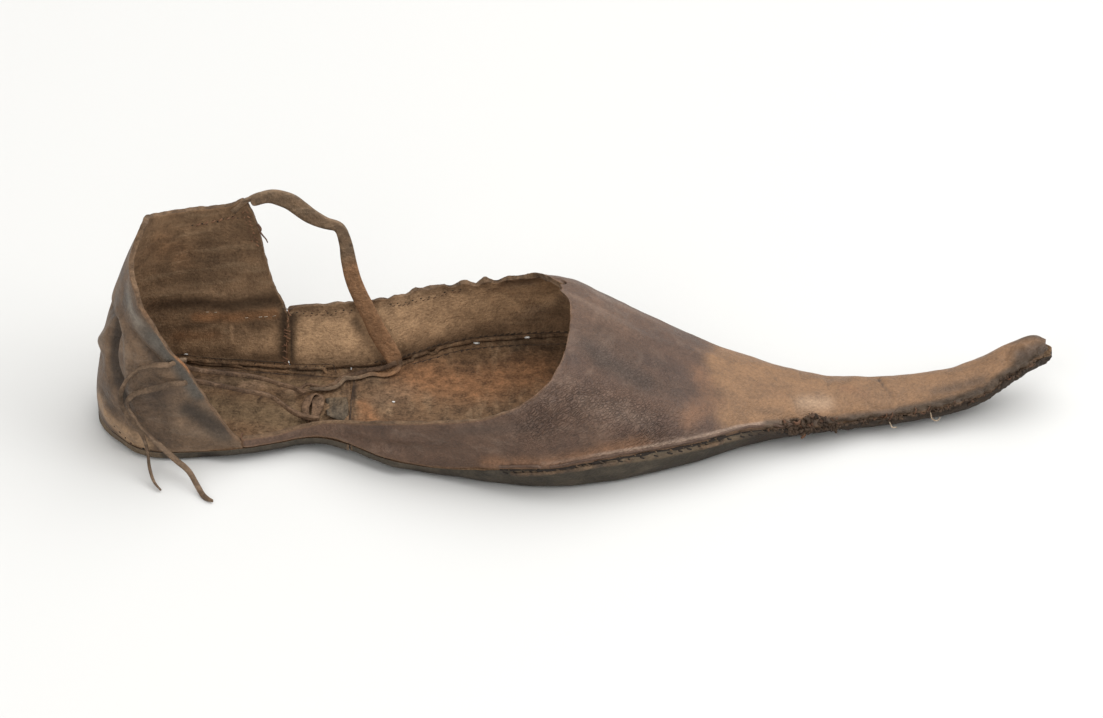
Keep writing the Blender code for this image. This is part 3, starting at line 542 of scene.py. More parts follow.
# The heel quarter
quarter = {
    "name": "heelQuarter", "slot": "quarter_leather", "seed": 3,
    # a fold is a route, its half width and its depth, minus is inwards; all in millimetres
    "folds": {
        "backDent": ([(-21.2, -12.3, 48), (-22.6, -12.1, 43.7), (-23.3, -12.9, 37.8),
                (-22.9, -15.2, 32.5), (-21.8, -17.8, 28.5)], 3.0, -5.4),
        "backDentLow": ([(-21.5, -18.2, 27.7), (-19.4, -21.1, 23.6), (-18, -22.5, 20)], 1.9, -1.6),
        "backShoulder": ([(-25.8, -8, 40), (-26.8, -3, 35)], 3.2, 2.0),
        "backPinch": ([(-22.8, -8.5, 51), (-23.8, -3, 48), (-23.5, 3, 46)], 2.6, -1.9),
        "backNip": ([(-27.5, -8, 29), (-27.7, -3, 28.5)], 1.8, -0.8),
        "dentRim": ([(-22.2, -9.1, 52), (-19, -15, 53.5), (-17.2, -19.5, 49),
                (-17, -21.2, 41), (-17.2, -22.2, 34.1), (-16, -23.5, 27)], 1.7, 1.3),
        "slantRidge": ([(-16.5, -19, 56), (-12, -23.6, 54.8), (-7.8, -26, 50.5),
                (-4, -27.2, 45.5)], 2.4, 0.7),
        "slantValley": ([(-15, -21.8, 50.5), (-11.5, -24.7, 47.5), (-7.5, -26.6, 44),
                (-4, -27.4, 40)], 1.6, -1.1),
        "moundSide": ([(-12.5, -25, 40), (-12, -25.6, 30)], 3.4, 0.9),
        "sideHollow": ([(-8.5, -26.5, 42), (-8, -27, 30), (-6.3, -27.6, 20)], 4.2, -1.0),
        "lowBulge": ([(-1, -28, 15.9), (7.9, -27.6, 12.6), (16.7, -26.6, 10)], 4.0, 1.0),
        "heelFoot": ([(-26.2, -15, 11), (-20, -23.5, 9), (-11, -27.5, 7)], 2.4, 0.9),
        "heelFootValley": ([(-27, -12, 18), (-20.5, -22.2, 15)], 2.2, -0.8),
        "farCreaseHigh": ([(-10.5, 25, 28), (-4.5, 26.4, 28.3), (8, 27, 28.6),
                (16, 27, 26.8), (24, 26.8, 28.2), (34.8, 25.5, 30.5)], 3.2, 0.9),
        "farCreaseLip": ([(-4.5, 26.4, 33.8), (13.2, 27.1, 32.5), (22, 26.9, 34),
                (33, 25.8, 36.8)], 4.2, -1.0),
        "farCreaseLow": ([(2.6, 27.1, 18.4), (9.6, 27, 19.7), (16.7, 26.9, 22),
                (23.8, 26.6, 24.8), (32, 25.6, 26.2)], 2.4, 0.55),
        "farCreaseLowLip": ([(2.6, 27.1, 21.5), (9.6, 27, 23), (16.7, 26.9, 25.2)], 1.8, -0.7),
        "farTopSag": ([(-6, 20, 62), (-4, 24, 45)], 4.0, -1.0),
        "farTopLean": ([(4, 26.8, 52), (26, 27, 52)], 7.0, 0.8),
    },
    "waves": [(26.0, 0.8, (1, 1, 1)), (8.0, 0.35, (1, 1, 0.7))],
    "fray": {"high": 0.34, "scale": 3.2, "fade": 2.0,
        "where": lambda x, y, z: min(1.0, max(0.0, (z - 10.0) / 6.0))},
    "pulls": {
        "heelCorner": ([(-29, 0, 1), (-27.5, -10, 1), (-23.5, -17.5, 1)], 9.5,
            (1.5, 1.2, 0.65)),
        "waistLift": ([(20, -26.2, 4), (30, -24.5, 4)], 7.0, (0.0, -2.2, 1.5)),
        "nearEdgeBow": ([(-9.8, -23.7, 62.6), (-7, -25.3, 58.6), (-3.4, -26.1, 53.1),
                (0.1, -27.2, 46.9)], 5.0, (-2.2, 0.2, 0.0)),
        "farButt": ([(38.8, 24.6, 26), (37.6, 23.6, 5)], 1.4, (0.35, 0.0, 0.0)),
        "notch": ([(39, 24.7, 30)], 1.6, (-1.3, 0.0, -0.5)),
        "nearButt": ([(22.4, -26.2, 7.5), (23.5, -25.8, 3)], 1.4, (0.35, 0.0, 0.0)),
    },
    "paints": {
        # the first three pale marks are painted highlights: the top of the near edge, the slant ridge and
        # the low bulge
        "pale": [(outside, [(-15, -14, 66), (-15, -19.5, 60), (-13, -23, 57)], 3.4, 0.44),
            (outside, [(-14, -22.5, 54.5), (-11, -24.5, 52)], 2.0, 0.3),
            (outside, [(1, -28, 13), (6, -27.5, 12)], 2.2, 0.22),
            (inside, [(24, 27, 13), (35, 25, 16)], 6.5, 0.55),
            (inside, [(18.5, 26.8, 20), (19, 26.8, 13)], 1.1, 0.55),
            (inside, [(3.5, 26.2, 64), (4, 26.5, 56)], 2.4, 0.3),
            (inside, [(3, 27, 12), (14, 26, 13)], 4.0, 0.45)],
        # the first two dark marks are painted shade in the back dent
        "dark": [(outside, [(-21.6, -12.5, 48), (-22.8, -12.8, 40), (-22.4, -15.8, 32)], 3.1, 1.3),
            (outside, [(-21.5, -18.2, 27.7), (-18.5, -22, 21.5)], 2.0, 0.7),
            (outside, [(4, -28, 23), (10, -27.5, 18), (17, -26.8, 12)], 5.0, 0.66),
            (outside, [(-6, -29, 3), (8, -28, 3), (22, -26.5, 3)], 1.0, 0.9),
            # painted shade along the creases of the far wall, in these three marks
            (inside, [(-4.5, 26.4, 30), (8, 27, 30.4), (16, 27, 28.8),
                    (24, 26.8, 30.4), (34.8, 25.5, 33)], 5.0, 0.5),
            (inside, [(2.6, 27.1, 20), (9.6, 27, 21.2), (15, 26.9, 22.6)], 2.0, 0.34),
            (inside, [(10, 27.1, 26.5), (18, 27, 26.2)], 1.5, 0.32),
            (inside, [(38, 25, 27), (37.5, 24.8, 10)], 2.9, 0.72),
            (inside, [(4, 26.8, 42), (20, 27, 44)], 9.0, 0.36)],
        "warm": [(outside, [(-28, -8, 13), (-24, -19, 9), (-12, -27, 6)], 4.0, 1.05),
            (outside, [(-12, -25.6, 33)], 5.0, 0.3),
            (inside, [(-6, 20, 60), (2, 26, 50)], 8.0, 0.35),
            (inside, [(6, 27, 24), (20, 27, 24), (34, 25, 27)], 2.6, 0.7),
            (inside, [(0, 26, 16), (12, 26, 16)], 4.0, 0.5)],
        "cool": [(outside, [(-15, -16, 62), (-8, -25, 52), (2, -27.8, 42),
                    (8, -28, 30)], 4.6, 0.8),
            (outside, [(-4, -29, 24), (10, -28, 20), (14, -28, 12)], 5.0, 0.25)],
        "rust": [(None, [(-8.5, -24, 60.5), (-10, -23.5, 62)], 2.2, 0.45),
            (None, [(2, -27.2, 44), (4, -27, 40)], 2.6, 0.9)],
    },
}
heelQuarter = softLeather("upper_quarter", quarter, [quarterOutside, wallInside, cutLeather], 3)


# The vamp
def alongSeam(first, last, up=0.0, out=0.0):
    # the near seam between two places, moved up and outwards a little
    return [(spot.x / mm, spot.y / mm - out, spot.z / mm + up) for spot in nearSeam
        if first <= spot.x / mm <= last]


# the worn scallops of the far topline: how far each place stands up
topline = {
    "x": (48.0, 75.0, 90.0, 108.0, 128.0),
    "y": (24.8, 30.0, 37.2, 38.8, 37.2),
    "z": (29.6, 29.0, 28.8, 31.0, 35.0),
    "first": 48.0, "spacing": 4.1, "width": 1.9,
    "rises": (0.5, -0.5, 0.7, -0.6, 0.4, -0.2, 0.3, 0.7, -0.6, 0.8,
        -0.9, 0.9, -0.8, 1.0, -0.9, 0.9, -0.8, 0.8, -0.7, 0.5),
}
scallops = {}
for k, rise in enumerate(topline["rises"]):
    x = topline["first"] + topline["spacing"] * k
    spot = (x, np.interp(x, topline["x"], topline["y"]), np.interp(x, topline["x"], topline["z"]))
    scallops["scallop" + str(k)] = ([spot], topline["width"], (0.0, 0.0, rise))
vamp = {
    "name": "pointedVamp", "slot": "vamp_leather", "seed": 11,
    "folds": {
        "instepRidge": ([(138, 4, 46), (165, 0, 36), (190, 2, 27)], 3.0, 0.9),
        "sideHollow": ([(150, -22, 40), (172, -24, 30), (190, -18, 24)], 6.0, -1.0),
        "nearRoll": ([(135.3, -37, 40.5), (115.1, -45.6, 30), (89.7, -41, 21.5)], 2.4, 0.5),
        "toeDipA": ([(230.2, 6, 15.8), (230.9, -12, 14.5)], 1.8, -0.6),
        "toeDipB": ([(247.9, 4.7, 13.4), (249.7, -1, 14.3), (251.8, -4.1, 13.9),
                (252.8, -6.6, 13.1)], 1.0, -0.8),
        "toeRise": ([(240, 4, 15), (241, -8, 14)], 2.6, 0.5),
        "seamLip": (alongSeam(100, 235, 1.5), 1.3, 0.8),
        "seamLipToe": (alongSeam(235, 310, 1.3), 1.2, 0.5),
        "vampFoldA": ([(60, -26, 9), (75, -34, 12), (95, -42, 14)], 2.2, -0.7),
        "vampFoldB": ([(62, -26.8, 12), (85, -39, 16.5), (105, -45.5, 19)], 2.2, 0.6),
    },
    "lumps": [(alongSeam(205, 310, 0.8), 2.2, 1.7, 1.5), ([(296, 6, 21), (308, 10, 24)], 5.0, 2.4, 1.1),
        ([(235, 0, 15), (290, 4, 19)], 12.0, 9.0, 0.5)],
    "waves": [(30.0, 0.8, (1, 1, 1)), (8.0, 0.3, (1, 1, 1)), (3.0, 0.1, (1, 1, 1))],
    "fray": {"high": 0.6, "scale": 3.2, "fade": 2.0,
        "where": lambda x, y, z: min(1.0, max(0.0, (z - 12.0) / 8.0))
        * (1.8 if y > 20.0 and x > 60.0 else 0.7)},
    "pulls": {
        **scallops,
        "throatTear": ([(133.5, 20, 44)], 2.4, (5.4, 0.0, -3.6)),
        "throatTongue": ([(137.5, 11, 46.6)], 1.7, (-2.0, 0.0, 0.8)),
        "tipKnob": ([(304, 13, 26.2)], 7.0, (0.0, -0.2, 3.2)),
        "tipLobeTop": ([(309, 13.5, 25.5)], 1.5, (-0.8, 0.0, 0.9)),
        "tipNotch": ([(309.8, 11, 23.8)], 1.1, (-3.4, 0.0, 0.0)),
        "tipLobeLow": ([(309.8, 8.5, 22.2)], 1.1, (1.4, 0.0, 0.2)),
        "waistLift": ([(26, -25, 4), (40, -23.2, 4), (52, -22.2, 4),
                (65, -26.2, 4), (76, -33, 4)], 7.0, (0.0, -3.2, 2.25)),
        "farButt": ([(39.1, 24.6, 26), (37.9, 23.6, 5)], 1.4, (-0.35, 0.0, 0.0)),
        "notch": ([(39.6, 24.7, 29)], 1.5, (1.2, 0.0, -0.5)),
        "nearButt": ([(23, -26.2, 7.5), (23.8, -25.8, 3)], 1.4, (-0.35, 0.0, 0.0)),
    },
    "paints": {
        # the four outside pale marks are painted highlights: the instep ridge, the upper far side of the
        # instep, the glossy near side and the seam lip
        "pale": [(outside, [(138, 10, 46.5), (165, 4, 37), (190, 4, 28)], 3.0, 0.34),
            (outside, [(150, 22, 40), (180, 18, 30)], 5.0, 0.5),
            (outside, [(140, -41, 32), (152, -40, 31), (166, -38, 25)], 5.0, 0.3),
            (outside, alongSeam(125, 230, 2.2), 0.9, 0.75),
            (inside, [(48, 26, 17), (70, 30, 18), (90, 37, 18), (112, 40, 20)],
                10.0, 1.05),
            (inside, [(118, 41, 22), (130, 38, 26), (137, 28, 38)], 9.0, 0.95)],
        "dark": [(outside, [(143, -8, 45), (145, -24, 43)], 3.5, 0.2),
            # painted shade: the top of the instep darker
            (outside, [(152, -10, 42), (172, -14, 34)], 10.0, 0.34),
            (outside, [(88, -39, 17), (100, -44, 20)], 4.0, 0.24),
            # painted shade in the gap between the lip and the sole
            (outside, alongSeam(120, 235, 0.0), 1.0, 1.0),
            # painted shade in the throat
            (inside, [(136, 28, 40)], 4.0, 0.1),
            # painted shadow of the strap on the far wall
            (inside, [(62.5, 26.2, 23), (67, 27.2, 13), (71, 28, 7)], 2.8, 0.6),
            (inside, [(40, 24, 27), (39.2, 23.8, 8)], 2.3, 0.72)],
        "tan": [(outside, [(212, 6, 21), (224, -4, 16), (240, 0, 14), (290, 4, 20)],
                19.0, 2.2),
            (outside, [(200, -2, 22.5), (201, -20, 19)], 11.0, 2.2)],
        "grime": [(outside, alongSeam(200, 310, 1.2), 2.4, 0.8),
            (outside, [(206, -21, 17.5), (214, -18.5, 16)], 2.2, 0.35),
            (outside, [(300, 6, 21), (310, 10, 23)], 5.0, 0.8),
            (outside, [(299, 15, 26.2), (310, 13, 26.2)], 5.5, 0.62),
            (outside, [(268, -3.5, 12.5), (285, -1, 17)], 2.8, 0.5),
            (outside, [(230.2, 4, 15.5), (230.5, -4.5, 15.9)], 0.8, 0.6),
            (outside, [(247.9, 4.7, 13.4), (249.7, -1, 14.3), (251.8, -4.1, 13.9),
                    (252.8, -6.6, 13.1)], 0.6, 1.0),
            (cutEdge, [(210, -20, 12), (310, 10, 22)], 22.0, 1.5)],
        "soot": [(outside, alongSeam(252, 310, 0.4), 3.0, 1.0),
            (outside, alongSeam(205, 250, 0.2), 2.4, 1.0),
            (outside, [(298, 4, 19), (310, 8, 21)], 3.6, 0.8)],
        "cream": [(outside, [(221.5, -13.5, 15), (229, -11.5, 14.5)], 5.0, 0.55)],
        "rust": [(outside, [(243, -6.5, 13), (236, -4, 14.5)], 3.5, 0.45),
            (outside, [(207, -10, 21), (214, -12, 18.5)], 4.0, 0.25)],
        "warm": [(outside, [(110, -46, 12), (140, -50, 17), (165, -44, 19)], 4.2, 0.8),
            (outside, [(184, -10, 26), (190, -22, 22), (180, -32, 21.5)], 6.0, 0.6)],
        "cool": [(inside, [(124, 40, 24), (136, 34, 32)], 9.0, 0.85),
            (outside, [(146, -18, 42), (165, -24, 34)], 8.0, 0.45),
            (outside, [(100, -44, 24), (125, -48, 30)], 4.0, 0.35)],
        "grained": [(None, [(128.2, -47.1, 31.5), (142.4, -41.2, 36), (156.6, -38, 30),
                    (167.2, -38, 24)], 8.0, 1.1),
            (None, [(150, -20, 41), (165, -22, 34)], 8.0, 0.35)],
    },
}
pointedVamp = softLeather("upper_vamp", vamp, [vampOutside, wallInside, cutLeather], 3)


# The sole, in two pieces
soleFore = {
    "name": "soleForepart", "slot": "sole_leather", "seed": 21,
    "folds": {
        "innerFold": ([(62.7, 16, 4.1), (70, 16.5, 4), (80, 22, 3)], 3.0, -0.5),
        "edgeLip": (alongSeam(100, 225, -1.4, 0.3), 1.2, 0.7),
    },
    "waves": [(28.0, 0.5, (1, 1, 1)), (7.0, 0.2, (1, 1, 1))],
    "fray": {"high": 1.3, "scale": 2.0, "fade": 1.5,
        "where": lambda x, y, z: 1.0 if x > 205.0 else (0.25 if x > 90.0 else 0.0)},
    "lumps": [(alongSeam(215, 310, -1.5), 3.5, 1.8, 1.4)],
    "pulls": {
        "waistLift": ([(60, -22.5, 2), (65, -26.2, 2), (76, -33, 2)], 7.0,
            (0.0, -3.2, 2.25)),
        "tipTongue": ([(308.5, 9, 18.5)], 1.2, (-0.6, 0.0, -0.3)),
        "tipCut": ([(309.5, 12, 20.5)], 1.4, (-3.2, 0.0, 0.0)),
        "waistButt": ([(61.1, 20, 4.1), (61.1, -20, 4.1)], 1.4, (-0.3, 0.0, 0.0)),
    },
    "paints": {
        "pale": [(inside, [(72, 6, 3), (80, 12, 3)], 8.0, 0.4)],
        "dark": [(inside, [(62.7, 14, 4), (61.3, 0, 4), (61.3, -15, 4)], 1.2, 0.8),
            # painted shade along the bottom of the near side, at the waist and ball
            (outside, [(60, -24.5, 1), (80, -36, 1), (110, -46, 1)], 3.5, 0.6),
            (inside, [(70, -25, 4), (110, -42, 6)], 3.0, 0.25)],
        "brown": [(outside, [(215, -14, 6), (260, -6, 8), (305, 8, 18)], 18.0, 1.5)],
        "grime": [(cutEdge, [(205, -20, 8), (310, 10, 20)], 24.0, 1.5)],
        "warm": [(inside, [(85, 20, 3), (105, 15, 3), (125, 22, 3)], 15.0, 0.62),
            (inside, [(66, -12, 4), (90, -18, 3)], 10.0, 0.5),
            (inside, [(65, 2, 4), (70, -10, 4)], 4.0, 0.6),
            (outside, alongSeam(115, 215, -2.3), 1.9, 0.85)],
        "cool": [(inside, [(70, 18, 3)], 7.0, 0.5), (inside, [(120, 39, 3)], 3.5, 0.6)],
    },
}
soleForepart = softLeather("sole_forepart", soleFore, [soleOutside, insole, cutLeather], 3)
soleHeel = {
    "name": "soleSeat", "slot": "sole_leather", "seed": 25,
    "folds": {
        "longFoldA": ([(4, 16.5, 2.8), (20, 15, 3), (36, 12.5, 3.4), (50, 10, 3.7)],
            1.7, -2.0),
        "longFoldAValley": ([(4, 13, 2.8), (30, 9.8, 3.2), (50, 7, 3.7)], 1.6, 0.7),
        "longFoldB": ([(18, 21, 2.8), (40, 19.5, 3.5), (56, 16, 4)], 1.3, -1.0),
        "longFoldC": ([(4, 9.5, 2.8), (18, 7.5, 3), (32, 3.5, 3.3)], 1.4, -1.3),
        "longFoldBValley": ([(18, 18.5, 2.8), (40, 16.8, 3.5), (52, 14, 4)], 1.2, 0.5),
    },
    "waves": [(22.0, 0.5, (1, 1, 1)), (6.0, 0.25, (1, 1, 1))],
    "fray": {"high": 0.0},
    "pulls": {
        "waistButt": ([(60.6, 20, 4.1), (60.6, -20, 4.1)], 1.4, (0.3, 0.0, 0.0)),
        "heelCorner": ([(-29, 0, 1), (-27.5, -10, 1), (-23.5, -17.5, 1)], 9.5,
            (1.5, 1.2, 0.65)),
        "waistLift": ([(20, -26.2, 2), (40, -23.2, 2), (52, -22.2, 2),
                (65, -26.2, 2)], 7.0, (0.0, -3.2, 2.25)),
    },
    "paints": {
        # painted highlight along the ridges of the long folds
        "pale": [(inside, [(22, 15, 3), (36, 13, 3), (50, 10.5, 4)], 1.5, 0.7),
            (inside, [(6, 20, 3), (30, 17.5, 3)], 1.6, 0.5)],
        # painted shade beside the long folds, in the first two dark marks
        "dark": [(inside, [(8, 11, 3), (24, 8.5, 3), (36, 5, 4)], 1.1, 0.9),
            (inside, [(10, 24.5, 3), (36, 21.8, 3.3), (56, 17, 4)], 1.0, 0.5),
            (inside, [(60.6, 16, 4), (60.6, -16, 4)], 1.0, 0.8),
            # painted shade along the bottom of the near side, under the lifted waist
            (outside, [(10, -28, 1), (40, -23.2, 1), (62, -24.5, 1)], 4.0, 0.8)],
        "olive": [(inside, [(10, 2, 3), (30, -2, 3), (45, -8, 3)], 9.0, 0.8),
            (inside, [(20, 20, 3), (50, 14, 4)], 4.0, 0.6)],
        "warm": [(inside, [(16, -10, 3)], 5.0, 0.3),
            (outside, [(-28.2, -9.8, 3), (-20.4, -21.1, 2.5), (-10, -27, 2)], 5.0, 1.0)],
        "cool": [(inside, [(10, 16, 3), (25, 18, 3)], 5.0, 0.6)],
    },
}
soleSeat = softLeather("sole_seat", soleHeel, [soleOutside, insole, cutLeather], 3)
shoeSkin = surfaceOf(heelQuarter, pointedVamp, soleForepart, soleSeat)


# Straps and thongs
bands = {
    "ankleStrap": {"node": "ankle_strap", "levels": 2, "waves": [(14.0, 0.35), (4.0, 0.1)]},
    "thongUpper": {"node": "thong_upper", "levels": 2, "waves": [(10.0, 0.25)]},
    "thongLower": {"node": "thong_lower", "levels": 2, "waves": [(10.0, 0.25)]},
}


def plainAttributes(piece, edgeDist=9.0):
    count = len(piece.data.vertices)
    keepAttribute(piece.data, "edgeDist", np.full(count, edgeDist))
    keepAttribute(piece.data, "trough", np.zeros(count))


def ridesOn(piece, material, slotName, *nodes):
    piece.data.materials.clear()
    piece.data.materials.append(material)
    for polygon in piece.data.polygons:
        polygon.material_index, polygon.use_smooth = 0, True
    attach(piece, "root")
    if nodes:
        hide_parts(*nodes)
    return piece


for name, band in bands.items():
    piece = finerMesh(name, looseCopy(band["node"], 40.0, 0.6), band["levels"])
    points, normals = meshArrays(piece.data)
    for seed, (scale, high) in enumerate(band["waves"]):
        for axis in range(3):          # the whole band wanders a little
            points[:, axis] += high * mm * waves(points, scale * mm, seed * 3 + axis + noiseSeeds["bands"])
    piece.data.vertices.foreach_set("co", points.ravel())
    plainAttributes(piece)
    keepAttribute(piece.data, "warm", 1.2 * bellNear(points, [(64, 26.5, 40), (70, 26, 24),
                (77, 23, 8)], 9.0 * mm))
    keepAttribute(piece.data, "dark", 0.9 * bellNear(points, [(79, 22.5, 8), (74, 24, 6)], 2.2 * mm))
    ridesOn(piece, strapLeather if name == "ankleStrap" else thongLeather, "strap_leather", band["node"])


# Lace ends: the free lengths outside the slits
laces = {
    "laceEndUpper": {
        "node": "lace_end_upper", "width": 2.0, "thickness": 1.2, "turns": (0.2, 0.9, 1.5),
        "route": [(-2.2, -28.8, 42.4), (-5, -29.1, 42.6), (-8, -28.4, 42),
            (-13, -27, 39.4), (-16.8, -26, 35), (-19, -25.2, 30),
            (-19.8, -25, 26), (-19.2, -25.4, 22), (-16.8, -26.8, 18.4),
            (-13.8, -28.4, 15.2), (-11.7, -30.2, 11.8), (-10.3, -33, 8.2),
            (-9.6, -37.6, 4.6), (-8, -42.4, 1.9), (-5.6, -46.5, 1.1)],
    },
    "laceEndLower": {
        "node": "lace_end_lower", "width": 2.3, "thickness": 1.2, "turns": (0.1, 0.5, 1.3),
        "route": [(-2.4, -29.1, 34.4), (-5.4, -30.2, 33.9), (-9.6, -29.8, 32.4),
            (-14.8, -28.4, 29.6), (-17.4, -27.9, 25.8), (-16.8, -28.4, 22.8),
            (-14.6, -29.5, 20), (-12.5, -30.8, 17), (-7.8, -33.2, 13),
            (-0.8, -37.6, 8.3), (4.2, -41.2, 5.6), (7.4, -45.8, 2.4),
            (9.4, -49.6, 1.1), (11.2, -52, 1.1), (13, -53.2, 1.1)],
    },
}


def smoothRoute(route, parts):
    spots = [inMetres(spot) for spot in route]
    spots = [2 * spots[0] - spots[1], *spots, 2 * spots[-1] - spots[-2]]
    line = []
    for i in range(1, len(spots) - 2):
        for part in range(parts):
            t = part / parts
            line.append(0.5 * (2 * spots[i] + (spots[i + 1] - spots[i - 1]) * t
                    + (2 * spots[i - 1] - 5 * spots[i] + 4 * spots[i + 1] - spots[i + 2]) * t ** 2
                    + (3 * spots[i] - spots[i - 1] - 3 * spots[i + 1] + spots[i + 2]) * t ** 3))
    line.append(spots[-2])
    return line


def sweptBand(name, line, sections, around=12):
    # one ring of a flat oval, drawn along the line; sections gives width, thickness and turn
    band = bmesh.new()
    shapes = [Vector((math.cos(2 * math.pi * k / around), math.sin(2 * math.pi * k / around),
                0.0)) for k in range(around)]
    rings = []
    side = Vector((0.0, 0.0, 1.0))
    for place, spot in enumerate(line):
        ahead = (line[min(place + 1, len(line) - 1)] - line[max(place - 1, 0)]).normalized()
        side = (side - ahead * side.dot(ahead)).normalized()
        width, thick, turn = sections[place]
        turned = Matrix.Rotation(turn, 3, ahead) @ side
        flat = ahead.cross(turned)
        rings.append([band.verts.new(spot + turned * shape.x * width / 2 + flat * shape.y * thick / 2)
                for shape in shapes])
    for first, second in zip(rings[:-1], rings[1:]):
        for k in range(around):
            band.faces.new([first[k], first[(k + 1) % around], second[(k + 1) % around], second[k]])
    band.faces.new(rings[0][::-1])
    band.faces.new(rings[-1])
    bmesh.ops.recalc_face_normals(band, faces=band.faces)
    mesh = bpy.data.meshes.new(name)
    band.to_mesh(mesh)
    band.free()
    piece = newPiece(name, mesh)
    plainAttributes(piece)
    return piece


def routeLength(line):
    return sum((second - first).length for first, second in zip(line[:-1], line[1:]))


for name, lace in laces.items():
    line = smoothRoute(lace["route"], 6)
    count = len(line)
    sections = []
    for place in range(count):
        share = place / (count - 1)
        taper = 1.0 - 0.3 * max(0.0, share - 0.8) / 0.2 + 0.12 * math.sin(share * 23.0)
        turn = np.interp(share, (0.0, 0.5, 1.0), lace["turns"]) * math.pi
        sections.append((lace["width"] * mm * taper, lace["thickness"] * mm * taper, turn))
    piece = sweptBand(name, line, sections)
    ridesOn(piece, laceLeather, "strap_leather", lace["node"])
    routeLength(line)
    print("stage:", name, round(routeLength(line), 4))

# Where a thong leaves its slit and becomes the lace end
for name, route in {
    "slitCrossingUpper": [(3.5, -23.5, 40.8), (1.2, -25.2, 41.7), (-0.4, -27.4, 42.4),
        (-2.4, -28.8, 42.4)],
    "slitCrossingLower": [(5.6, -23.8, 32.2), (4.6, -26.2, 33.6), (2.6, -29, 34.7),
        (0.2, -29.4, 34.8), (-2.6, -29.1, 34.4)],
}.items():
    line = smoothRoute(route, 5)
    ridesOn(sweptBand(name, line, [(2.0 * mm, 1.1 * mm, 0.2)] * len(line)), laceLeather, "strap_leather")


# Threads, stitches and holes
dice = random.Random(7)


def strandPiece(name, strands, material, slotName, fullness=1):
    # many short round threads in one mesh; radii are in millimetres
    curve = bpy.data.curves.new(name, "CURVE")
    curve.dimensions = "3D"
    curve.bevel_depth = mm
    curve.bevel_resolution = fullness
    curve.use_fill_caps = True
    for line, radii in strands:
        spline = curve.splines.new("POLY")
        spline.points.add(len(line) - 1)
        for spot, place, radius in zip(spline.points, line, radii):
            spot.co = (*place, 1.0)
            spot.radius = radius
    drawn = newPiece(name + ".drawn", curve)
    graph = bpy.context.evaluated_depsgraph_get()
    mesh = bpy.data.meshes.new_from_object(drawn.evaluated_get(graph))
    bpy.data.objects.remove(drawn)
    bpy.data.curves.remove(curve)
    mesh.name = name
    piece = newPiece(name, mesh)
    plainAttributes(piece)
    return ridesOn(piece, material, slotName)


def stations(route, spacing, wobble=0.0):
    # evenly spaced places on a route, each with the way ahead
    line = smoothRoute(route, 8)
    spots, gone, wanted = [], 0.0, spacing * mm * 0.5
    for first, second in zip(line[:-1], line[1:]):
        step = (second - first).length
        while step > 0 and gone + step >= wanted:
            spots.append((first.lerp(second, (wanted - gone) / step), (second - first).normalized()))
            wanted += spacing * mm * (1.0 + dice.uniform(-wobble, wobble))
        gone += step
    return spots


def settled(spot, ahead):
    # the nearest place on the leather, its outward way and the way across
    place, outward, _, _ = shoeSkin.find_nearest(spot)
    across = outward.cross(ahead).normalized()
    return place, outward, across


def ladder(route, spacing, reach, lift, radius, slant, wobble=0.2):
    strands = []
    for spot, ahead in stations(route, spacing, wobble):
        place, outward, across = settled(spot, ahead)
        half = reach * mm * dice.uniform(0.8, 1.15)
        lean = ahead * slant * mm * dice.uniform(0.6, 1.4)
        high = outward * lift * mm * dice.uniform(0.7, 1.2)
        low = outward * -0.35 * mm
        size = radius * dice.uniform(0.8, 1.2)
        strands.append(([place - across * half - lean + low,
                    place - across * half * 0.7 - lean * 0.7 + high * 0.7,
                    place + high, place + across * half * 0.7 + lean * 0.7 + high * 0.7,
                    place + across * half + lean + low], [size * 0.8, size, size, size, size * 0.8]))
    return strands


def dashes(route, spacing, length, radius, slant=0.0, wobble=0.2):
    strands = []
    for spot, ahead in stations(route, spacing, wobble):
        place, outward, across = settled(spot, ahead)
        way = (ahead + across * slant).normalized() * length * mm * 0.5 * dice.uniform(0.8, 1.2)
        size = radius * dice.uniform(0.85, 1.15)
        strands.append(([place - way - outward * 0.3 * mm, place - way * 0.6 + outward * 0.12 * mm,
                    place + way * 0.6 + outward * 0.12 * mm, place + way - outward * 0.3 * mm],
                [size * 0.8, size, size, size * 0.8]))
    return strands


def roll(route, radius, lift, wobble=0.15, parts=6):
    # a thin welt or groove that follows a route on the leather
    line, radii = [], []
    for spot in smoothRoute(route, parts):
        place, outward, _, _ = shoeSkin.find_nearest(spot)
        line.append(place + outward * lift * mm)
        radii.append(radius * dice.uniform(1.0 - wobble, 1.0 + wobble))
    return line, radii


def pits(name, places, size, material=None, longer=1.0, lift=0.04):
    # small flat spots on the leather: dark ones are painted shade for awl holes, pale glint ones are
    # painted light for gaps where light comes through
    mesh = bmesh.new()
    for spot in places:
        place, outward, _, _ = shoeSkin.find_nearest(inMetres(spot))
        place = place + outward * (lift - 0.04) * mm
        across = outward.cross(Vector((1.0, 0.0, 0.0))).normalized()
        turn = Matrix((across.cross(outward), across, outward)).transposed().to_4x4()
        wide = size * mm * dice.uniform(0.8, 1.25)
        shape = Matrix.Diagonal((wide * longer, wide * dice.uniform(0.7, 1.0), wide * 0.35, 1.0))
        bmesh.ops.create_icosphere(mesh, subdivisions=1, radius=1.0,
            matrix=Matrix.Translation(place + outward * 0.04 * mm) @ turn @ shape)
    made = bpy.data.meshes.new(name)
    mesh.to_mesh(made)
    mesh.free()
    piece = newPiece(name, made)
    plainAttributes(piece)
    return ridesOn(piece, material or holeAndGapShade, "vamp_leather")


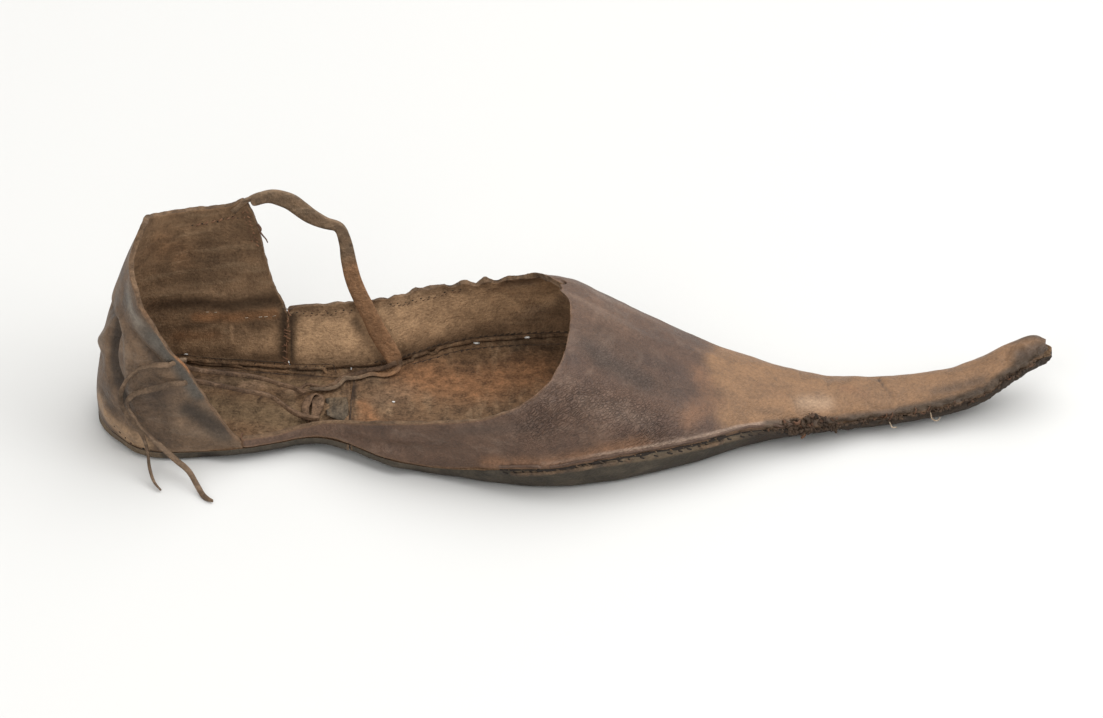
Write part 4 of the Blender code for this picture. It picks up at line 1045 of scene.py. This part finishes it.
farSide = [(39.1, 24.7, 29), (38.8, 24.4, 24.6), (38.4, 24.1, 18.3), (38.1, 23.9, 12),
    (37.7, 23.6, 6)]
farSeat = [(-2, 26.2, 6), (2.2, 26.8, 6), (10, 26.8, 5), (21, 26.2, 4.8),
    (31.2, 24.6, 4.8), (41.2, 23.1, 5), (51.1, 20.7, 5.5), (58, 19, 5.5)]
farFore = [(58, 19, 5.5), (64.5, 20, 5.2), (71.6, 22.8, 4.8), (78.7, 26.8, 4.2),
    (82.6, 29.6, 4.2), (89.7, 33.6, 4.2), (97.4, 37.2, 4.4), (105.6, 39.8, 4.6),
    (115.5, 41.4, 4.8), (126.5, 42.4, 4.8), (138, 42.5, 5), (150, 41, 5)]
farForeSole = [(82.6, 27.5, 3), (89.7, 31.2, 3), (97.4, 35.1, 3), (105.6, 37.5, 3),
    (115.5, 39.1, 3), (126.5, 40.2, 3), (138, 40.2, 3)]


def moved(route, out, up):
    return [(x, y + out, z + up) for x, y, z in route]


strands = (dashes(moved(farFore, 0.0, 1.7), 2.7, 1.7, 0.2, 0.3, 0.35)
    + [roll(moved(farFore, 0.0, 1.2), 0.16, -0.02)])
strands += dashes(farForeSole, 2.6, 1.6, 0.2, 0.4, 0.35) + [roll(moved(farForeSole, 0.4, 0.0), 0.16, -0.02)]
strands += [roll(moved(farSeat, 0.0, 1.6), 0.2, -0.05, 0.4),
    roll(moved(farSeat, -1.8, -2.2), 0.22, -0.05, 0.4)]
strands += ladder(farSeat, 2.9, 1.1, 0.35, 0.2, 0.9, 0.5)
strandPiece("innerSeamThreads", strands, darkThread, "sole_leather")
strandPiece("sideSeamThreads", ladder(farSide, 2.0, 1.3, 0.3, 0.2, 0.5, 0.4)
    + ladder(farSide, 2.9, 1.9, 0.15, 0.16, -0.6, 0.5) + [roll(farSide, 0.2, -0.05)],
    rustThread, "quarter_leather")
strandPiece("sideSeamGap", [roll(moved(farSide[:3], -0.1, 0.0), 0.16, 0.08)], darkThread, "quarter_leather")
strandPiece("innerSeamWelt", [roll(farFore[3:], 0.8, 0.0, 0.25), roll(farSeat, 0.85, 0.0, 0.3),
        roll(moved(farSeat, -1.0, -1.0), 0.7, 0.0, 0.3)], insole, "sole_leather")
sideFill = [Vector((38.0, 24.0, z)) * mm for z in (6.2, 5.2, 3.6, 2.6)]
waistFill = [Vector((61.0, y, z)) * mm for y, z in (
    (-19.0, 2.6), (-8.0, 2.6), (4.0, 2.6), (14.0, 2.6), (18.5, 2.8), (21.0, 3.5), (22.4, 4.3))]
strandPiece("seamFill",
    [(sideFill, [0.5, 0.9, 1.1, 1.1]), (waistFill, [1.3, 1.3, 1.3, 1.3, 1.2, 1.0, 0.6])],
    insole, "sole_leather")
pits("seamGlints", [(105.6, 39.4, 4.2)], 0.75, glint, 2.3, 0.9)
pits("seamGlintsSmall", [(123.6, 42.4, 5), (2.2, 26.2, 8.5)], 0.55, glint, 2.0, 0.9)
pits("pinholeGlints", [(76.2, 4, 3)], 0.55, glint, 1.5, 0.35)
pits("heelHoles", [(-22.9, -18.5, 8), (-21.2, -20.5, 6.8), (-19, -22.3, 5.9),
        (-16.9, -23.9, 4.8), (-12, -26.2, 4.5), (-5, -28, 4.2)], 0.45)

topRow = [(6.1, 26.3, 64.3), (9.6, 27, 64.7), (13.5, 27.4, 65.3), (17.1, 27.7, 66),
    (20.6, 27.8, 66.8)]
frontRow = [(24.5, 27.7, 70), (25.2, 27.6, 66.5), (26.2, 27.4, 62.5), (27.3, 27.3, 58.5),
    (28.1, 27.1, 54.5)]
strandPiece("quarterStitches", dashes(topRow, 2.4, 1.7, 0.34, 0.5) + dashes(frontRow, 1.9, 1.2, 0.28, 0.8)
    + dashes([(x - 1.6, y, z) for x, y, z in frontRow], 2.1, 1.0, 0.2, -0.6), rustThread, "quarter_leather")
pits("quarterHoles",
    [(x + 0.7, y, z - 0.4) for x, y, z in topRow] + [(x - 1.0, y, z) for x, y, z in topRow], 0.36)
strandPiece("paleStitches", dashes([(27.5, 26.2, 24.7), (32.7, 25.4, 25.6), (36.2, 24.9, 26.8)], 2.9, 1.7,
        0.16, 0.1, 0.4)
    + dashes([(22.5, 26.6, 24), (25, 26.4, 24.2)], 3.0, 1.4, 0.15, 0.1)
    + dashes([(8.5, 27, 26.2), (13, 27, 26)], 3.1, 1.2, 0.14, 0.1), paleThread, "quarter_leather")

topHoles = [(41.9, 24.6, 28), (44.3, 24.5, 27.6), (47.2, 24.4, 27.7), (50, 24.5, 28),
    (52.8, 24.8, 27.4), (55.7, 25.2, 27.9), (58.5, 25.6, 28.1), (61.3, 26.1, 27.8),
    (64.2, 26.6, 27.8), (75.1, 30, 27.6), (77.6, 31, 27.3), (80.4, 32.2, 26.9),
    (82.9, 33.4, 27), (85.8, 34.8, 26.9), (88.6, 36.2, 26.7), (91.4, 37, 27),
    (94.3, 37.4, 27.6), (97.1, 37.7, 28.3), (99.9, 38, 28.5)]
pits("toplineHoles", topHoles, 0.27, longer=1.5)
strandPiece("toplineStitches", dashes(moved(topHoles[:9], 0.0, -0.9), 2.3, 1.3, 0.14, 0.4, 0.4)
    + dashes(moved(topHoles[9:], 0.0, -0.8), 2.4, 1.3, 0.14, 0.4, 0.4)
    + dashes(moved(topHoles[:9], 0.0, 0.9), 2.6, 1.2, 0.13, -0.5, 0.4), redThread, "vamp_leather")

# the outer seam: lip, rand, a near-black tube and dashes as painted shade in the gap between them, then the
# tangle and the overcast point
strandPiece("outerLip", [roll(alongSeam(112, 218, 1.45), 0.5, 0.24, 0.12)], vampOutside, "vamp_leather")
strandPiece("outerRand", [roll(alongSeam(112, 222, -1.9), 0.8, 0.4, 0.22)]
    + ladder(alongSeam(112, 222, -0.9), 4.1, 1.05, 0.85, 0.3, -1.9, 0.35), randLeather, "sole_leather")
strandPiece("outerGapShade", [roll(alongSeam(108, 224, -0.45), 0.78, 0.4, 0.25)]
    + dashes(moved(alongSeam(112, 222, -1.7), -0.6, 0.0), 4.1, 2.2, 0.3, -0.55, 0.4), holeAndGapShade,
    "sole_leather")
tangle, loops = [], []
for spot, ahead in stations(alongSeam(205, 304, 0.0), 0.44, 0.5):
    lump = min(1.0, 1.8 * max(0.0, 1.0 - abs(spot.x / mm - 223.5) / 12.5))     # thickest 223.5 mm along
    share = max(0.42 if spot.x / mm > 232.0 else 0.28, 0.35 + 0.65 * lump)
    place, outward, across = settled(spot + Vector((0.0, 0.0, 1.1 * lump * mm)), ahead)
    for _ in range(4 if lump > 0.2 else 2):
        way = (ahead * dice.uniform(-1.0, 1.0) + across * dice.uniform(-0.8, 0.8)).normalized()
        start = place + across * dice.uniform(-3.2, 3.2) * mm * share - outward * 0.3 * mm
        high = outward * dice.uniform(0.4, 1.5) * mm * share
        reach = way * dice.uniform(0.9, 2.5) * mm * (0.6 + 0.4 * share)
        size = dice.uniform(0.3, 0.7) * (0.6 + 0.4 * share)
        strand = ([start, start + reach * 0.35 + high, start + reach * 0.7 + high * 0.9, start + reach],
            [size * 0.7, size, size, size * 0.6])
        (loops if dice.random() < 0.08 + 0.06 * lump else tangle).append(strand)
strandPiece("outerSeamTangle", tangle, darkThread, "vamp_leather")
strandPiece("outerSeamLoops", loops + ladder(alongSeam(240, 296, 0.6), 6.2, 1.3, 0.9, 0.26, 0.8, 0.7),
    redThread, "vamp_leather")
strandPiece("nearSideCross", ladder([(22.6, -26.2, 11), (23, -26.2, 7), (23.6, -26, 4)],
        2.4, 1.6, 0.4, 0.28, 0.8), redThread, "vamp_leather")

waist = [(62.2, 15.5, 5), (61.8, 10, 5), (61.2, 0, 5), (60.8, -10, 5),
    (60.6, -16.5, 5)]
strandPiece("waistSeam", dashes(waist, 3.4, 1.8, 0.2, 0.3, 0.3) + [roll(waist, 0.36, -0.02)], darkThread,
    "sole_leather")

loose = {
    "collarThreadEnd": ([(28.9, 27.1, 61.2), (30, 26.2, 60), (31.2, 25.5, 58.8),
            (31.8, 25.2, 57.5)], (0.35, 0.3, 0.25, 0.18), redThread),
    "collarThreadNub": ([(28.3, 27.2, 64), (29.2, 26.2, 63), (29.4, 26.6, 61.6)],
        (0.45, 0.5, 0.3), redThread),
    "notchThread": ([(36.8, 25, 29.2), (38.5, 23.6, 30), (40.5, 25, 29.2)],
        (0.22, 0.22, 0.22), darkThread),
    "toeWhiteThread": ([(266.5, -8.5, 7.8), (267.2, -10.5, 6.2), (269, -10.8, 5.8),
            (270, -9.8, 6.6)], (0.22, 0.25, 0.22, 0.15), paleThread),
    "toeWhiteThreadB": ([(252, -12, 6), (253, -13.2, 4.6), (254.5, -12.8, 4.4)],
        (0.22, 0.25, 0.18), paleThread),
}
for name, (route, radii, material) in loose.items():
    line = smoothRoute(route, 4)
    strandPiece(name, [(line, list(np.interp(np.linspace(0, 1, len(line)), np.linspace(0, 1, len(radii)),
                        radii)))],
        material, "vamp_leather", 2)
print("stage: threads")


# Small leather pieces: the loop, flap and patch at the waist, the strap's root and its tail
smallBands = {
    "waistLoop": {"route": [(46.6, -9, 4.4), (45.3, -5.5, 4.7), (45.2, -1, 5.4),
            (46.6, 3, 6.2), (48.8, 4.2, 6.6), (50.8, 2.6, 6)],
        "width": (2.0, 3.2, 2.0), "thickness": 0.9, "turn": 1.0, "material": thongLeather},
    "waistFlap": {"route": [(48.6, 5, 5.2), (49.1, 2.8, 6), (49.4, -1, 5.8),
            (48.4, -7, 4.8)],
        "width": (3.4, 4.8, 3.2), "thickness": 0.8, "turn": 1.45, "material": thongLeather},
    "waistPatch": {"route": [(56, 4, 5), (56.2, 0, 5.2), (56.3, -4, 5.2),
            (56.3, -9, 5.1)],
        "width": (8.0, 8.4, 8.2), "thickness": 0.9, "turn": 1.57, "material": patchLeather},
    "strapRoot": {"route": [(19.6, 27.4, 69.2), (21.8, 27.4, 71.6), (24, 27.6, 73.5),
            (26.2, 27.7, 74.8), (29, 28, 75.6), (32.2, 28.2, 75.7)],
        "width": (2.6, 2.8, 3.4), "thickness": 1.5, "turn": 0.3, "material": strapLeather},
    "strapRootTwist": {"route": [(22.8, 26.6, 73.8), (24.6, 26.8, 75.2), (26.2, 28.4, 74.2),
            (26.6, 29.2, 72.2)],
        "width": (1.8, 2.2, 1.4), "thickness": 1.1, "turn": 0.8, "material": strapLeather},
    "tailTwist": {"route": [(77.1, 21, 8.5), (72, 20.2, 6.6), (67.9, 20.3, 6),
            (63.2, 17, 6.6), (58.4, 16, 6), (55.3, 10.8, 6.6),
            (50.9, 9.4, 6), (45.5, 9.8, 7), (43, 7.5, 6.2)],
        "width": (1.8, 1.5, 1.3), "thickness": 1.0, "turn": 0.5, "material": thongLeather},
}
for name, band in smallBands.items():
    line = smoothRoute(band["route"], 5)
    share = np.linspace(0.0, 1.0, len(line))
    widths = np.interp(share, (0.0, 0.5, 1.0), band["width"])
    sections = [(width * mm, band["thickness"] * mm, band["turn"] + 0.5 * math.sin(5.0 * part))
        for width, part in zip(widths, share)]
    ridesOn(sweptBand(name, line, sections), band["material"], "strap_leather")
print("stage: small pieces")


# The floor
ground = bmesh.new()
bmesh.ops.create_grid(ground, x_segments=2, y_segments=2, size=4.0)
groundMesh = bpy.data.meshes.new("floor")
ground.to_mesh(groundMesh)
ground.free()
floor = newPiece("floor", groundMesh)
paper = Bench("floorPaper")
paper.finish(paper.blend(paper.speckle(2.0), (0.615, 0.613, 0.6), (0.625, 0.623, 0.61)), 0.9,
    paper.speckle(300.0), 0.00002)
floor.data.materials.append(paper.material)

print("stage: done")
